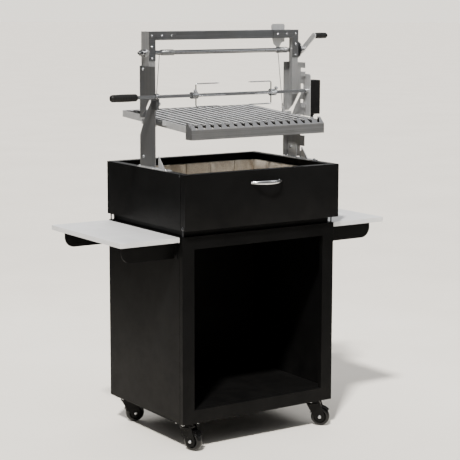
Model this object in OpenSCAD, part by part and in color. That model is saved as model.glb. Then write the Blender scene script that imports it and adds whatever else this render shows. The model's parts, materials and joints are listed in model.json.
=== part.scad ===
// Charcoal grill cart with a crank-lifted V-bar grate and a motor-driven spit.
// Millimetres, +Z up. X runs across the cart, -Y is the front. Z = 0 is the floor.

/* [Cart] */
// Width of the cart across the front
cart_w = 692; // [640:1:720]
// Depth of the cart from front to back
cart_d = 544; // [500:1:560]
// Height of the cart's underside above the floor
cart_z = 109; // [100:1:120]
// Height of the cart body
cart_h = 707; // [660:1:720]
// Width of the two posts beside the wood store's opening
stile_w = 52; // [35:1:70]
// Height of the rail above the opening
top_rail_h = 49; // [35:1:70]
// Height of the rail below the opening
bottom_rail_h = 51; // [35:1:70]
// Thickness of the cart's sheet metal
sheet_t = 2; // [1.5:0.5:3]

/* [Firebox] */
// Width of the firebox
box_w = 700; // [690:1:710]
// Depth of the firebox with its door
box_d = 571; // [560:1:580]
// Height of the firebox
box_h = 206; // [190:1:220]
// Gap between the cart's top and the firebox
box_gap = 24; // [16:1:30]
// Width of the rim folded inward round the top
rim_w = 30; // [20:1:34]
// Thickness of the firebricks
brick_t = 25; // [20:1:30]
// Gap left between neighbouring firebricks
brick_gap = 2; // [1:0.5:4]

/* [Side shelves] */
// Length of a shelf, outward from the cart
shelf_l = 248; // [200:1:300]
// Width of a shelf, front to back
shelf_d = 529; // [450:1:540]
// Height of a shelf's folded edge
shelf_t = 18; // [12:1:25]

/* [Lift frame] */
// Outer width across the two uprights
frame_w = 690; // [684:1:692]
// Top of the crossbar above the floor
frame_top = 1553; // [1540:1:1570]
// Height of the crossbar
crossbar_h = 32; // [25:1:40]
// Top edge of the wide upright plates
plate_top = 1426; // [1415:1:1430]
// Vertical pitch of the spit notches
notch_pitch = 61.5; // [60:0.5:62]
// Height of one spit notch
notch_h = 20; // [18:1:30]

/* [Winch] */
// Diameter of the winch shaft
shaft_dia = 17; // [14:0.5:20]
// Length of the crank arm between its two axes
crank_len = 91; // [80:1:95]
// Length of the crank's grip
grip_len = 58; // [45:1:70]

/* [Grate] */
// Width of the grate
grate_w = 600; // [580:1:602]
// Number of V bars
bar_count = 17; // [13:1:19]
// Width of one V bar
bar_w = 26; // [20:1:28]
// Fall of the grate towards the trough, in degrees
grate_fall = 3.7; // [2:0.1:4.5]

/* [Rotisserie] */
// Side of the square spit rod
rod_side = 12; // [10:0.5:12.5]
// Length of the spit's handle
handle_len = 110; // [90:1:130]
// Radius at which the fork's prongs run
fork_r = 43; // [35:1:43]
// Length of the fork's prongs
prong_len = 100; // [70:1:110]

/* [Castors] */
// Diameter of a castor's wheel
wheel_dia = 75; // [70:1:75]
// Width of a castor's wheel
wheel_w = 26; // [20:1:27]

/* [Hidden] */

$fn = 48;
eps = 0.01;
fit = 0.05;      // radial clearance of a running fit
gap = 0.4;       // clearance between separate solids
mid_y = 30;      // the cart's centre plane, which leaves the bounding box centred on the origin

black = "#1b1b1d";
steel = "#a9abac";
bright = "#d6d8da";

cart_top_z = cart_z + cart_h;
open_z0 = cart_z + bottom_rail_h;
open_z1 = cart_top_z - top_rail_h;
frame_return = 20;   // depth of the front frame's folded side edges
panel_y0 = -cart_d / 2 + frame_return + 1;

box_z0 = cart_top_z + box_gap;
rim_z = box_z0 + box_h;
box_y1 = cart_d / 2 + 2;
box_y0 = box_y1 - box_d;
wall_t = 2.5;
door_depth = 29;
body_y0 = box_y0 + door_depth + 2.5;
floor_z = box_z0 + wall_t;
brick_top = rim_z - 31;
wall_bricks = 5;
back_bricks = 6;
hinge_y = box_y0 + 17;
hinge_z = box_z0 + 8;

shelf_z = cart_top_z - 1;
shelf_x = cart_w / 2 + 7;
bracket_y = 215;
bracket_l = 225;
bracket_h = 66;

plate_x = frame_w / 2;
plate_t = 3;
plate_y0 = -82;
plate_y1 = 28;
plate_z0 = rim_z + 8;
flange_w = 27;
post_t = 3;
post_x = plate_x - plate_t;
post_w = 28;
post_y0 = -36;
post_y1 = 20;
post_z0 = 1300;
lip_d = 15;
notch_top = 1404;
notch_count = 6;
notch_y = -53;
corner_arm = 118;
corner_drop = 108;
corner_t = 2.5;

shaft_y = -10;
shaft_z = 1474;
shaft_r = shaft_dia / 2;
wind_r = shaft_r + 2.6;
cable_r = 1.5;
coil_l = [-272, -216];
coil_r = [272, 308];
crank_angle = 142;         // rest angle of the crank arm, from +Y towards +Z
crank_x = 382;
arm_t = 5;
grip_r = 12;

side_t = 4;
side_h = 25;
grate_y0 = -222;
grate_y1 = 237;
grate_front_z = 1190;      // underside of the side bars at the front end
bar_t = 1.6;
bar_depth = 13;
trough_y0 = -266;
trough_z0 = 1166;
trough_h = 36;
trough_d = 44;
trough_t = 2;
cable_y = shaft_y + shaft_r + cable_r + 0.05;
eye_z = 1252;

spit_y = -92;
spit_z = 1316;
socket_r = 9;
bush_r = 9;
bracket_x = plate_x + 1;
motor_x0 = bracket_x + 3 + gap;
motor_x1 = 394;
motor_y0 = -115;
motor_y1 = -67;
motor_z0 = 1224;
motor_z1 = 1358;
fork_left_x = -180;
fork_right_x = 180;
hub_r = 13;
hub_l = 26;
wire_r = 2.5;
bend_r = 7;
support_z0 = 1268;

wheel_r = wheel_dia / 2;
trail = 28;
castor_x = cart_w / 2 - 50;
castor_y = cart_d / 2 - 50;
castor_plate_t = 4;
race_z = cart_z - castor_plate_t - 8;
// Castor positions as [side, end, direction of trail in degrees]
castor_fl = [-1, -1, -70];
castor_fr = [1, -1, -46];
castor_bl = [-1, 1, -18];
castor_br = [1, 1, -100];

// Places cart-centred geometry in the part's own frame
module placed() { translate([0, mid_y, 0]) children(); }

// A box given by its two corners
module span(lo, hi) { translate(lo) cube(hi - lo); }

// Children on both sides of the centre plane
module both() {
    children();
    mirror([1, 0, 0]) children();
}

// A cylinder along X
module rod_x(x0, x1, y, z, r) {
    translate([x0, y, z]) rotate([0, 90, 0]) cylinder(r = r, h = x1 - x0);
}

// A cylinder along Y
module rod_y(x, y0, y1, z, r) {
    translate([x, y0, z]) rotate([-90, 0, 0]) cylinder(r = r, h = y1 - y0);
}

// A cylinder along Z
module rod_z(x, y, z0, z1, r) { translate([x, y, z0]) cylinder(r = r, h = z1 - z0); }

// A domed bolt head on its flat face, pointing along +Z
module dome(r, h) {
    big = (r * r + h * h) / (2 * h);
    intersection() {
        translate([0, 0, h - big]) sphere(r = big);
        cylinder(r = r, h = h);
    }
}

// A profile drawn in Y and Z, extruded along X from x0 to x1
module yz_plate(x0, x1) {
    translate([x0, 0, 0]) rotate([90, 0, 90]) linear_extrude(x1 - x0) children();
}

// A profile drawn in X and Z, extruded along Y from y0 to y1
module xz_plate(y0, y1) {
    translate([0, y1, 0]) rotate([90, 0, 0]) linear_extrude(y1 - y0) children();
}

/* ---- cart ---- */

module cart_front_frame() {
    w = cart_w / 2;
    y0 = -cart_d / 2;
    iw = w - stile_w;
    color(black) placed() difference() {
        span([-w, y0, cart_z], [w, y0 + frame_return, cart_top_z]);
        span([-w + sheet_t, y0 + sheet_t, cart_z + sheet_t],
             [-iw - sheet_t, y0 + frame_return + 1, cart_top_z - sheet_t]);
        span([iw + sheet_t, y0 + sheet_t, cart_z + sheet_t],
             [w - sheet_t, y0 + frame_return + 1, cart_top_z - sheet_t]);
        span([-w + sheet_t, y0 + sheet_t, cart_z + sheet_t],
             [w - sheet_t, y0 + frame_return + 1, open_z0 - sheet_t]);
        span([-w + sheet_t, y0 + sheet_t, open_z1 + sheet_t],
             [w - sheet_t, y0 + frame_return + 1, cart_top_z - sheet_t]);
        span([-iw, y0 - 1, open_z0], [iw, y0 + frame_return + 1, open_z1]);
    }
}

module cart_side_panels() {
    w = cart_w / 2;
    lip = 11;
    color(black) placed() both() {
        span([w - sheet_t, panel_y0, cart_z + 3.4], [w, cart_d / 2, cart_top_z - 2.4]);
        span([w - lip, panel_y0, cart_z + 3.4], [w, panel_y0 + sheet_t, cart_top_z - 2.4]);
    }
}

module cart_back_panel() {
    w = cart_w / 2 - sheet_t - gap;
    y1 = cart_d / 2;
    color(black) placed() difference() {
        span([-w, y1 - 14, cart_z + 3.4], [w, y1, cart_top_z - 2.4]);
        span([-w + sheet_t, y1 - 15, cart_z + 3], [w - sheet_t, y1 - sheet_t, cart_top_z]);
    }
}

module cart_floor() {
    w = cart_w / 2 - 17;
    y0 = -cart_d / 2 + frame_return + 4;
    y1 = cart_d / 2 - 16;
    drop = 30;
    color(black) placed() difference() {
        span([-w, y0, open_z0 - drop], [w, y1, open_z0]);
        span([-w + sheet_t, y0 + sheet_t, open_z0 - drop - 1], [w - sheet_t, y1 - sheet_t, open_z0 - sheet_t]);
    }
}

module cart_base() {
    w = cart_w / 2;
    y0 = -cart_d / 2 + frame_return + 1;
    color(black) placed() difference() {
        span([-w, y0, cart_z], [w, cart_d / 2, cart_z + 3]);
        for (c = [castor_fl, castor_fr, castor_bl, castor_br])
            for (p = bolt_offsets)
                rod_z(c[0] * castor_x + p[0], c[1] * castor_y + p[1], cart_z - 1, cart_z + 4, bolt_hole_r);
    }
}

bolt_hole_r = 4.2;
bolt_offsets = [[-32, -22], [32, -22], [-32, 22], [32, 22]];

module cart_top() {
    w = cart_w / 2;
    color(black) placed() span([-w, panel_y0, cart_top_z - 2], [w, cart_d / 2, cart_top_z]);
}

// Catch screws at the firebox's front corners, and the pins that stand between cart and firebox
module cart_bolts() {
    color(steel) placed() both() {
        translate([box_w / 2 + eps, body_y0 + 5, rim_z - 7]) rotate([0, 90, 0]) dome(3.5, 2.5);
        for (y = [-cart_d / 2 + 7, cart_d / 2 - 7])
            rod_z(cart_w / 2 - 7, y, cart_top_z + eps, box_z0 - eps, 3);
    }
}

module shelf() {
    h = shelf_d / 2;
    color(bright) placed() difference() {
        span([shelf_x, -h, shelf_z - shelf_t], [shelf_x + shelf_l, h, shelf_z]);
        span([shelf_x + sheet_t, -h + sheet_t, shelf_z - shelf_t - 1],
             [shelf_x + shelf_l - sheet_t, h - sheet_t, shelf_z - sheet_t]);
    }
}

module shelf_right() { shelf(); }

module shelf_left() { mirror([1, 0, 0]) shelf(); }

// Each bracket is a plate with a rounded outer corner, a foot on the cart and a seat under the shelf
module shelf_brackets() {
    w = cart_w / 2 + eps;
    z1 = shelf_z - sheet_t - 0.3;
    z0 = shelf_z - shelf_t - bracket_h;
    color(black) placed() both() for (s = [-1, 1]) {
        y = s * bracket_y;
        xz_plate(y - 1.5, y + 1.5) difference() {
            translate([w, z0]) square([bracket_l, z1 - z0]);
            translate([w + bracket_l - 40, z0]) difference() {
                translate([0, -1]) square([41, 41]);
                translate([0, 40]) circle(r = 40);
            }
            translate([w - 1, z1 - shelf_t + 2]) square([11, shelf_t]);
        }
        span([w, min(y, y + s * 25), z0], [w + 3, max(y, y + s * 25), z1 - shelf_t + 2]);
        span([w + 12, min(y, y + s * 20), z1 - 2], [w + bracket_l, max(y, y + s * 20), z1]);
        for (z = [z0 + 12, z1 - shelf_t - 14])
            translate([w + 3 - eps, y + s * 14, z]) rotate([0, 90, 0]) dome(5, 3);
    }
}

/* ---- firebox ---- */

// Recessed plinth frame between the cart and the firebox
module firebox_plinth() {
    w = cart_w / 2 - 14;
    y0 = -cart_d / 2 + 16;
    y1 = cart_d / 2 - 14;
    color(black) placed() difference() {
        span([-w, y0, cart_top_z], [w, y1, box_z0]);
        span([-w + 20, y0 + 20, cart_top_z - 1], [w - 20, y1 - 20, box_z0 + 1]);
    }
}

module firebox_body() {
    w = box_w / 2;
    color(black) placed() difference() {
        union() {
            span([-w, body_y0, box_z0], [w, box_y1, rim_z]);
            both() span([w - 8, hinge_y - 9, hinge_z - 5], [w - 3.5, body_y0 + 1, hinge_z + 12]);
        }
        span([-w + wall_t, body_y0 - 1, floor_z], [w - wall_t, box_y1 - wall_t, rim_z - wall_t]);
        span([-w + rim_w, body_y0 - 1, floor_z], [w - rim_w, box_y1 - rim_w, rim_z + 1]);
        rod_x(-w - 1, w + 1, hinge_y, hinge_z, pin_r + fit);
    }
    // front lip that keeps the bricks in
    color(black) placed()
        span([-w + wall_t - eps, body_y0 + 3, floor_z - eps], [w - wall_t + eps, body_y0 + 5, floor_z + 28]);
}

pin_r = 4;

module door_pins() {
    w = box_w / 2;
    color(steel) placed() both() {
        rod_x(w - 12, w + eps, hinge_y, hinge_z, pin_r);
        translate([w + 0.3, hinge_y, hinge_z]) rotate([0, 90, 0]) dome(7, 3.5);
        rod_x(w - eps, w + 0.4, hinge_y, hinge_z, pin_r);
    }
}

module firebox_door() {
    w = box_w / 2;
    y1 = box_y0 + door_depth;
    color(black) placed() difference() {
        span([-w, box_y0, box_z0 + 1], [w, y1, rim_z]);
        span([-w + 2, box_y0 + 2, box_z0], [w - 2, y1 + 1, rim_z - 2]);
        rod_x(-w - 1, w + 1, hinge_y, hinge_z, pin_r + fit);
    }
}

handle_x = 8;
handle_z = 1000;
handle_span = 142;
handle_reach = 30;

// Bow handle: a bar bent to an arc, on two short posts
module door_handle() {
    half = handle_span / 2;
    bow_r = (half * half + handle_reach * handle_reach) / (2 * handle_reach);
    half_angle = asin(half / bow_r);
    color(bright) placed() translate([handle_x, box_y0, handle_z]) difference() {
        bow(half, bow_r, half_angle);
        span([-half - 20, -eps, -10], [half + 20, 20, 10]);
    }
}

module bow(half, bow_r, half_angle) {
    translate([0, bow_r - handle_reach, 0])
        rotate([0, 0, -90 - half_angle + 2.5])
            rotate_extrude(angle = 2 * half_angle - 5) translate([bow_r, 0]) circle(r = 6);
    for (s = [-1, 1])
        rod_y(s * (half - 9), -12, -eps, 0, 4.5);
}

// One row of bricks as separate blocks along X
module brick_row(x0, x1, count, y0, y1, z0, z1) {
    step = (x1 - x0) / count;
    for (i = [0 : count - 1])
        span([x0 + i * step + brick_gap / 2, y0, z0], [x0 + (i + 1) * step - brick_gap / 2, y1, z1]);
}

brick_y0 = body_y0 + 6;
brick_y1 = box_y1 - wall_t - 0.5;
brick_x = box_w / 2 - wall_t - 0.5;
brick_floor_top = floor_z + 0.3 + brick_t;

module firebrick_floor() {
    rows = 4;
    step = (brick_y1 - brick_y0) / rows;
    color("#d8cdb8") placed() for (r = [0 : rows - 1])
        brick_row(-brick_x, brick_x, 3 + r % 2, brick_y0 + r * step + brick_gap / 2,
                  brick_y0 + (r + 1) * step - brick_gap / 2, floor_z + 0.3, brick_floor_top);
}

module firebrick_walls() {
    z0 = brick_floor_top + 0.5;
    step = (brick_y1 - brick_t - brick_y0) / wall_bricks;
    color("#d8cdb8") placed() {
        both() for (i = [0 : wall_bricks - 1])
            span([brick_x - brick_t, brick_y0 + i * step + brick_gap / 2, z0],
                 [brick_x, brick_y0 + (i + 1) * step - brick_gap / 2, brick_top]);
        brick_row(-brick_x, brick_x, back_bricks, brick_y1 - brick_t, brick_y1, z0, brick_top);
    }
}

/* ---- lift frame ---- */

// Foot on the firebox rim, with an upstand behind the upright plate and a gusset before it
module upright_feet() {
    x1 = box_w / 2 - 2;
    x0 = box_w / 2 - rim_w + 2;
    z0 = rim_z + 0.1;
    color(bright) placed() both() difference() {
        union() {
            span([x0, -165, z0], [x1, 44, z0 + 4]);
            span([post_x - 3.1, -34, z0], [post_x - 0.1, 22, rim_z + 62]);
            yz_plate(x0 + 6, x0 + 10)
                polygon([[-82, z0 + 3], [-124, z0 + 3], [-84, rim_z + 48], [-82, rim_z + 48]]);
        }
        rod_x(post_x - 5, post_x + 5, 2, plate_bolt_z0, 4);
        for (y = foot_bolt_y) rod_z(x0 + 19, y, z0 - 1, z0 + 5, 4);
    }
}

plate_bolt_z0 = 1089;
plate_bolt_z1 = 1414;
foot_bolt_y = [-150, -60, 36];

// Slanted slot that lets the spit be brought in from behind: narrow above, flared at the back edge
module spit_slot() {
    polygon([[-56, 1301], [-56, 1309], [-50, 1312], [-44, 1309], [-4, 1256], [plate_y1 + 1, 1231],
             [plate_y1 + 1, 1166], [-16, 1249]]);
}

module upright_plate(notched) {
    color(steel) placed() difference() {
        union() {
            span([plate_x - plate_t, plate_y0, plate_z0], [plate_x, plate_y1, plate_top]);
            span([plate_x - flange_w, plate_y1 - plate_t, plate_z0], [plate_x, plate_y1, plate_top]);
        }
        yz_plate(plate_x - flange_w - 1, plate_x + 1) spit_slot();
        rod_x(plate_x - 5, plate_x + 5, 2, plate_bolt_z0, 4);
        rod_x(plate_x - 5, plate_x + 5, 2, plate_bolt_z1, 4);
        if (notched) for (i = [0 : notch_count - 1])
            span([plate_x - plate_t - 1, plate_y0 - 1, notch_top - i * notch_pitch - notch_h],
                 [plate_x + 1, notch_y, notch_top - i * notch_pitch]);
    }
}

module upright_plate_right() { upright_plate(true); }

module upright_plate_left() { mirror([1, 0, 0]) upright_plate(false); }

module upright_posts() {
    z1 = frame_top;
    xi = post_x - post_w;
    color(steel) placed() both() difference() {
        span([xi, post_y0, post_z0], [post_x - 0.1, post_y1, z1]);
        span([xi + post_t, post_y0 + post_t, post_z0 - 1], [post_x - post_t, post_y1 + 1, z1 - 3]);
        span([xi - 1, post_y0 + lip_d, post_z0 - 1], [xi + post_t + 1, post_y1 + 1, z1 - 3]);
        rod_x(post_x - 5, post_x + 1, shaft_y, shaft_z, bush_hole_r);
        rod_x(post_x - 5, post_x + 1, 2, plate_bolt_z1, 4);
    }
}

bush_hole_r = 11;
slot_x0 = 240;
slot_x1 = 285;

// Inverted channel between the posts, with a slot in its top for the brake plate
module crossbar() {
    xi = post_x - post_w - 0.1;
    z0 = frame_top - crossbar_h;
    color(steel) placed() difference() {
        span([-xi, post_y0, z0], [xi, post_y1, frame_top]);
        span([-xi - 1, post_y0 + 3, z0 - 1], [xi + 1, post_y1 - 3, frame_top - 3]);
        span([slot_x0, shaft_y - 2.5, z0], [slot_x1, shaft_y + 2.5, frame_top + 1]);
    }
}

// L-shaped plates bolted over the two upper corners
module corner_plates() {
    y1 = post_y0 - 0.1;
    color(steel) placed() both() xz_plate(y1 - corner_t, y1) difference() {
        translate([post_x - corner_arm, frame_top - crossbar_h]) square([corner_arm, crossbar_h]);
        translate([post_x - corner_arm - 1, frame_top - crossbar_h - 1])
            difference() {
                square([9, 9]);
                translate([9, 9]) circle(r = 8);
            }
    }
    color(steel) placed() both() xz_plate(y1 - corner_t, y1)
        translate([post_x - post_w, frame_top - corner_drop]) square([post_w, corner_drop]);
}

module frame_bolts() {
    yf = post_y0 - 0.1 - corner_t - eps;
    x0 = box_w / 2 - rim_w + 21;
    color(bright) placed() both() {
        for (p = [[0, -16], [43, -16], [86, -16], [0, -57], [0, -98]])
            translate([post_x - 13 - p[0], yf, frame_top + p[1]]) rotate([90, 0, 0]) dome(5.5, 3.5);
        for (z = [plate_bolt_z0, plate_bolt_z1]) {
            translate([plate_x + eps, 2, z]) rotate([0, 90, 0]) dome(7, 4);
            rod_x(post_x - 8, plate_x + 0.1, 2, z, 3.9);
        }
        for (y = foot_bolt_y) {
            translate([x0, y, rim_z + 4.1 + eps]) dome(7, 4);
        }
    }
}

/* ---- winch ---- */

module winch_bushes() {
    color("#77746a") placed() both() difference() {
        union() {
            rod_x(post_x - 7, post_x + 4, shaft_y, shaft_z, bush_hole_r - fit);
            rod_x(post_x, post_x + 4, shaft_y, shaft_z, bush_hole_r + 4);
        }
        rod_x(post_x - 8, post_x + 5, shaft_y, shaft_z, shaft_r + fit);
    }
}

disc_r = 33;

module winch_shaft() {
    color(steel) placed() {
        rod_x(-post_x - 14, crank_x - 0.1, shaft_y, shaft_z, shaft_r);
        rod_x(post_x + 12, post_x + 16, shaft_y, shaft_z, disc_r);
        rod_x(post_x + 16 - eps, crank_x - 0.1, shaft_y, shaft_z, 12);
        difference() {
            rod_x(257, 268, shaft_y, shaft_z, collar_r);
            for (a = [0 : 30 : 330]) translate([256, shaft_y, shaft_z]) rotate([a + 15, 0, 0])
                translate([0, -1.1, collar_r - 1.8]) cube([13, 2.2, 3]);
        }
    }
}

collar_r = 12;

module winch_nuts() {
    color(bright) placed() {
        rod_x(-post_x - 17, -post_x - 14.1, shaft_y, shaft_z, 13);
        translate([-post_x - 25, shaft_y, shaft_z]) rotate([0, 90, 0]) cylinder(r = 10, h = 8, $fn = 6);
        rod_x(-post_x - 31, -post_x - 25, shaft_y, shaft_z, 5);
        translate([crank_x + arm_t + 0.1, shaft_y, shaft_z]) rotate([0, 90, 0]) cylinder(r = 9, h = 6, $fn = 6);
    }
}

// The wound turns of the two cables, as grooved sleeves
module cable_windings() {
    pitch = 2 * cable_r + 0.4;
    color(bright) placed() for (c = [coil_l, coil_r])
        for (x = [c[0] + cable_r : pitch : c[1] - cable_r])
            translate([x, shaft_y, shaft_z]) rotate([0, 90, 0]) rotate_extrude()
                translate([shaft_r + cable_r + 0.05, 0]) circle(r = cable_r, $fn = 16);
}

module crank_arm() {
    c = cos(crank_angle);
    s = sin(crank_angle);
    color(bright) placed() yz_plate(crank_x, crank_x + arm_t) difference() {
        union() {
            translate([shaft_y, shaft_z]) rotate(crank_angle) translate([-11, -11]) square([crank_len + 11, 22]);
            translate([shaft_y + crank_len * c, shaft_z + crank_len * s]) circle(r = 11);
        }
        translate([shaft_y + crank_len * c, shaft_z + crank_len * s]) circle(r = 3);
    }
    color(bright) placed()
        rod_x(crank_x + eps, crank_x + grip_len + 12, shaft_y + crank_len * c, shaft_z + crank_len * s, 3);
}

module crank_grip() {
    y = shaft_y + crank_len * cos(crank_angle);
    z = shaft_z + crank_len * sin(crank_angle);
    x0 = crank_x + arm_t + 2;
    color(black) placed() translate([x0, y, z]) rotate([0, 90, 0]) difference() {
        rotate_extrude() difference() {
            polygon([[0, 0], [grip_r - 3, 0], [grip_r, 3], [grip_r, grip_len - 4],
                     [grip_r - 4, grip_len], [0, grip_len]]);
            translate([-1, -1]) square([1, grip_len + 2]);
        }
        translate([0, 0, -1]) cylinder(r = 3 + fit, h = grip_len + 2);
    }
}

// Drop plate whose foot bears on the shaft's collar; it is lifted by its tab
module brake_plate() {
    cx = 262.5;
    foot_z = shaft_z + collar_r + 0.2;
    color(bright) placed() xz_plate(shaft_y - 1.5, shaft_y + 1.5) difference() {
        polygon([[cx - 31, frame_top + 0.1], [cx - 32, frame_top + 18], [cx - 26, frame_top + 23],
                 [cx + 26, frame_top + 23], [cx + 32, frame_top + 18], [cx + 31, frame_top + 0.1],
                 [slot_x1 - 1, frame_top + 0.1], [slot_x1 - 1, 1534], [cx + 32, 1534],
                 [cx + 31, 1506], [cx + 19, 1504], [cx + 14, 1498], [cx + 7, foot_z], [cx - 7, foot_z],
                 [cx - 20, 1497], [cx - 32, 1534], [slot_x0 + 1, 1534], [slot_x0 + 1, frame_top + 0.1]]);
    }
}

module lift_cables() {
    color(steel) placed() {
        cable([coil_l[0] - 2.2, cable_y, shaft_z], [-grate_w / 2 + 6, cable_y, eye_z]);
        cable([coil_r[0] - 2.2, cable_y, shaft_z], [grate_w / 2 - 6, cable_y, eye_z]);
    }
}

// A straight cable between two points in an XZ plane
module cable(top, low) {
    dx = low[0] - top[0];
    dz = low[2] - top[2];
    len = sqrt(dx * dx + dz * dz);
    translate(top) rotate([0, atan2(dx, dz), 0]) cylinder(r = cable_r, h = len, $fn = 16);
}

/* ---- grate ---- */

// Children drawn on a level grate, tipped to the grate's fall about its front end
module tipped() {
    translate([0, grate_y0, grate_front_z]) rotate([grate_fall, 0, 0]) children();
}

grate_len = (grate_y1 - grate_y0) / cos(grate_fall);
bar_span = grate_w - 2 * side_t - 6;
bar_pitch = bar_span / bar_count;

module grate_sides() {
    color(bright) placed() both() {
        tipped() span([grate_w / 2 - side_t, 0, 0], [grate_w / 2, grate_len, side_h]);
        // lug for the lift cable
        yz_plate(grate_w / 2 - side_t, grate_w / 2)
            polygon([[cable_y - 9, 1222], [cable_y + 9, 1222], [cable_y + 4, eye_z - 1], [cable_y - 4, eye_z - 1]]);
        rod_x(grate_w / 2 - side_t - 5, grate_w / 2 - side_t + eps, cable_y, eye_z - 6, 2.5);
    }
}

// Outline of one V bar: an open gutter of bent sheet
module v_outline() {
    h = bar_w / 2;
    k = bar_t * 1.35;
    polygon([[-h, bar_depth], [-h + k, bar_depth], [0, k], [h - k, bar_depth], [h, bar_depth], [0, 0]]);
}

module grate_bars() {
    color(bright) placed() tipped()
        for (i = [0 : bar_count - 1])
            translate([-bar_span / 2 + (i + 0.5) * bar_pitch, grate_len - 4.5, side_h - bar_depth - 1])
                rotate([90, 0, 0]) linear_extrude(grate_len - 2) v_outline();
}

module grate_rear_rail() {
    w = grate_w / 2 - side_t - 0.1;
    color(bright) placed() tipped() {
        span([-w, grate_len - 4, 0], [w, grate_len, side_h]);
        span([-w, grate_len * 0.5, 2], [w, grate_len * 0.5 + 25, side_h - bar_depth - 1.3]);
    }
}

// Slanted front plate, notched where each gutter runs out into the trough
module grate_front_rail() {
    w = grate_w / 2 - trough_t - 0.2;
    z0 = trough_z0 + trough_h;
    rise = 24;
    run = 24;
    slope = atan2(rise, run);
    len = sqrt(rise * rise + run * run);
    color(bright) placed() translate([0, trough_y0 + 0.5, z0]) rotate([slope, 0, 0]) linear_extrude(2)
        difference() {
            translate([-w, 0]) square([2 * w, len]);
            for (i = [0 : bar_count - 1]) {
                x = -bar_span / 2 + (i + 0.5) * bar_pitch;
                polygon([[x - 4, len - 29], [x + 4, len - 29], [x + 12, len - 10], [x + 12, len + 1],
                         [x - 12, len + 1], [x - 12, len - 10]]);
            }
        }
}

module grease_trough() {
    w = grate_w / 2;
    y1 = trough_y0 + trough_d;
    z1 = trough_z0 + trough_h;
    rear_z = z1 - 13;
    color(bright) placed() {
        yz_plate(-w, w) {
            translate([trough_y0, trough_z0]) square([trough_t, trough_h]);
            translate([trough_y0, trough_z0]) square([trough_d, trough_t]);
            translate([y1 - trough_t, trough_z0]) square([trough_t, rear_z - trough_z0]);
        }
        both() yz_plate(w - trough_t, w)
            polygon([[trough_y0, trough_z0], [trough_y0, z1], [trough_y0 + 26, z1 + 24], [grate_y0 - 3, z1 + 24],
                     [y1, rear_z], [y1, trough_z0]]);
    }
}

// Guide shoes on the side bars: a block inside each upright, a tab before it and one behind it
module grate_guides() {
    x0 = grate_w / 2 + 0.1;
    color(steel) placed() both() {
        span([x0, -18, 1198], [x0 + 26, 14, 1232]);
        span([x0, plate_y0 - 7, 1208], [x0 + 4, plate_y1 + 9, 1220]);
        span([x0, plate_y0 - 7, 1208], [x0 + 16, plate_y0 - 3, 1226]);
        span([x0, plate_y1 + 2, 1208], [x0 + 34, plate_y1 + 6, 1226]);
    }
}

/* ---- rotisserie ---- */

// Plate that carries the motor, hung in the notches by two hooks
module motor_bracket() {
    z_low = notch_top - notch_h + 0.4;
    color(bright) placed() difference() {
        union() {
            yz_plate(bracket_x, bracket_x + 3) difference() {
                translate([motor_y0 + 2, 1217]) square([motor_y1 - motor_y0 - 2, 165]);
                translate([motor_y0 + 1, 1383]) rotate(-90) difference() {
                    square([9, 9]);
                    translate([9, 9]) circle(r = 8);
                }
            }
            for (i = [0, 2]) {
                z = z_low - i * notch_pitch;
                span([bracket_x - 12, plate_y0 + 1, z], [bracket_x + 1, plate_y0 + 15, z + 6]);
                span([bracket_x - 12, plate_y0 - 10, z - 12], [bracket_x - 9, plate_y0 + 15, z + 6]);
            }
        }
        rod_x(bracket_x - 1, bracket_x + 4, spit_y, spit_z, socket_r + 0.3);
    }
}

module motor_housing() {
    r = 5;
    color(black) placed() difference() {
        yz_plate(motor_x0, motor_x1) {
            translate([motor_y0, motor_z0 + r]) square([motor_y1 - motor_y0, motor_z1 - motor_z0 - 2 * r]);
            translate([motor_y0 + r, motor_z0]) square([motor_y1 - motor_y0 - 2 * r, motor_z1 - motor_z0]);
            for (y = [motor_y0 + r, motor_y1 - r], z = [motor_z0 + r, motor_z1 - r])
                translate([y, z]) circle(r = r);
        }
        rod_x(motor_x0 - 1, motor_x0 + 14, spit_y, spit_z, socket_r + fit);
    }
}

module motor_gland() {
    color(black) placed() {
        rod_z(372, -91, motor_z0 - 5, motor_z0 - eps, 9);
        rod_z(372, -91, motor_z0 - 16, motor_z0 - 5, 6);
    }
}

rod_x1 = 352;

module drive_socket() {
    color(steel) placed() difference() {
        rod_x(bracket_x - 12, motor_x0 + 13, spit_y, spit_z, socket_r);
        span([bracket_x - 13, spit_y - rod_side / 2 - 0.1, spit_z - rod_side / 2 - 0.1],
             [rod_x1 + 0.2, spit_y + rod_side / 2 + 0.1, spit_z + rod_side / 2 + 0.1]);
    }
}

handle_x1 = -428;

module spit_rod() {
    h = rod_side / 2;
    color(bright) placed() span([handle_x1 - 40, spit_y - h, spit_z - h], [rod_x1, spit_y + h, spit_z + h]);
}

seat_x0 = -346.4;
seat_x1 = -340.6;

// Flanged bush on the rod that turns in the left support
module spit_bush() {
    h = rod_side / 2 + 0.1;
    color(steel) placed() difference() {
        union() {
            rod_x(seat_x0 - 4, seat_x1 + 4, spit_y, spit_z, bush_r);
            rod_x(seat_x0 - 4, seat_x0 - 0.6, spit_y, spit_z, bush_r + 3);
            rod_x(seat_x1 + 0.6, seat_x1 + 4, spit_y, spit_z, bush_r + 3);
        }
        span([seat_x0 - 5, spit_y - h, spit_z - h], [seat_x1 + 5, spit_y + h, spit_z + h]);
    }
}

module spit_handle() {
    h = rod_side / 2 + 0.1;
    r = 14.5;
    color(black) placed() difference() {
        translate([handle_x1 - handle_len, spit_y, spit_z]) rotate([0, 90, 0]) rotate_extrude()
            polygon([[0, 0], [r - 5, 0], [r, 5], [r, handle_len - 3], [r - 3, handle_len], [0, handle_len]]);
        span([handle_x1 - 40.2, spit_y - h, spit_z - h], [handle_x1 + 1, spit_y + h, spit_z + h]);
    }
}

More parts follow.
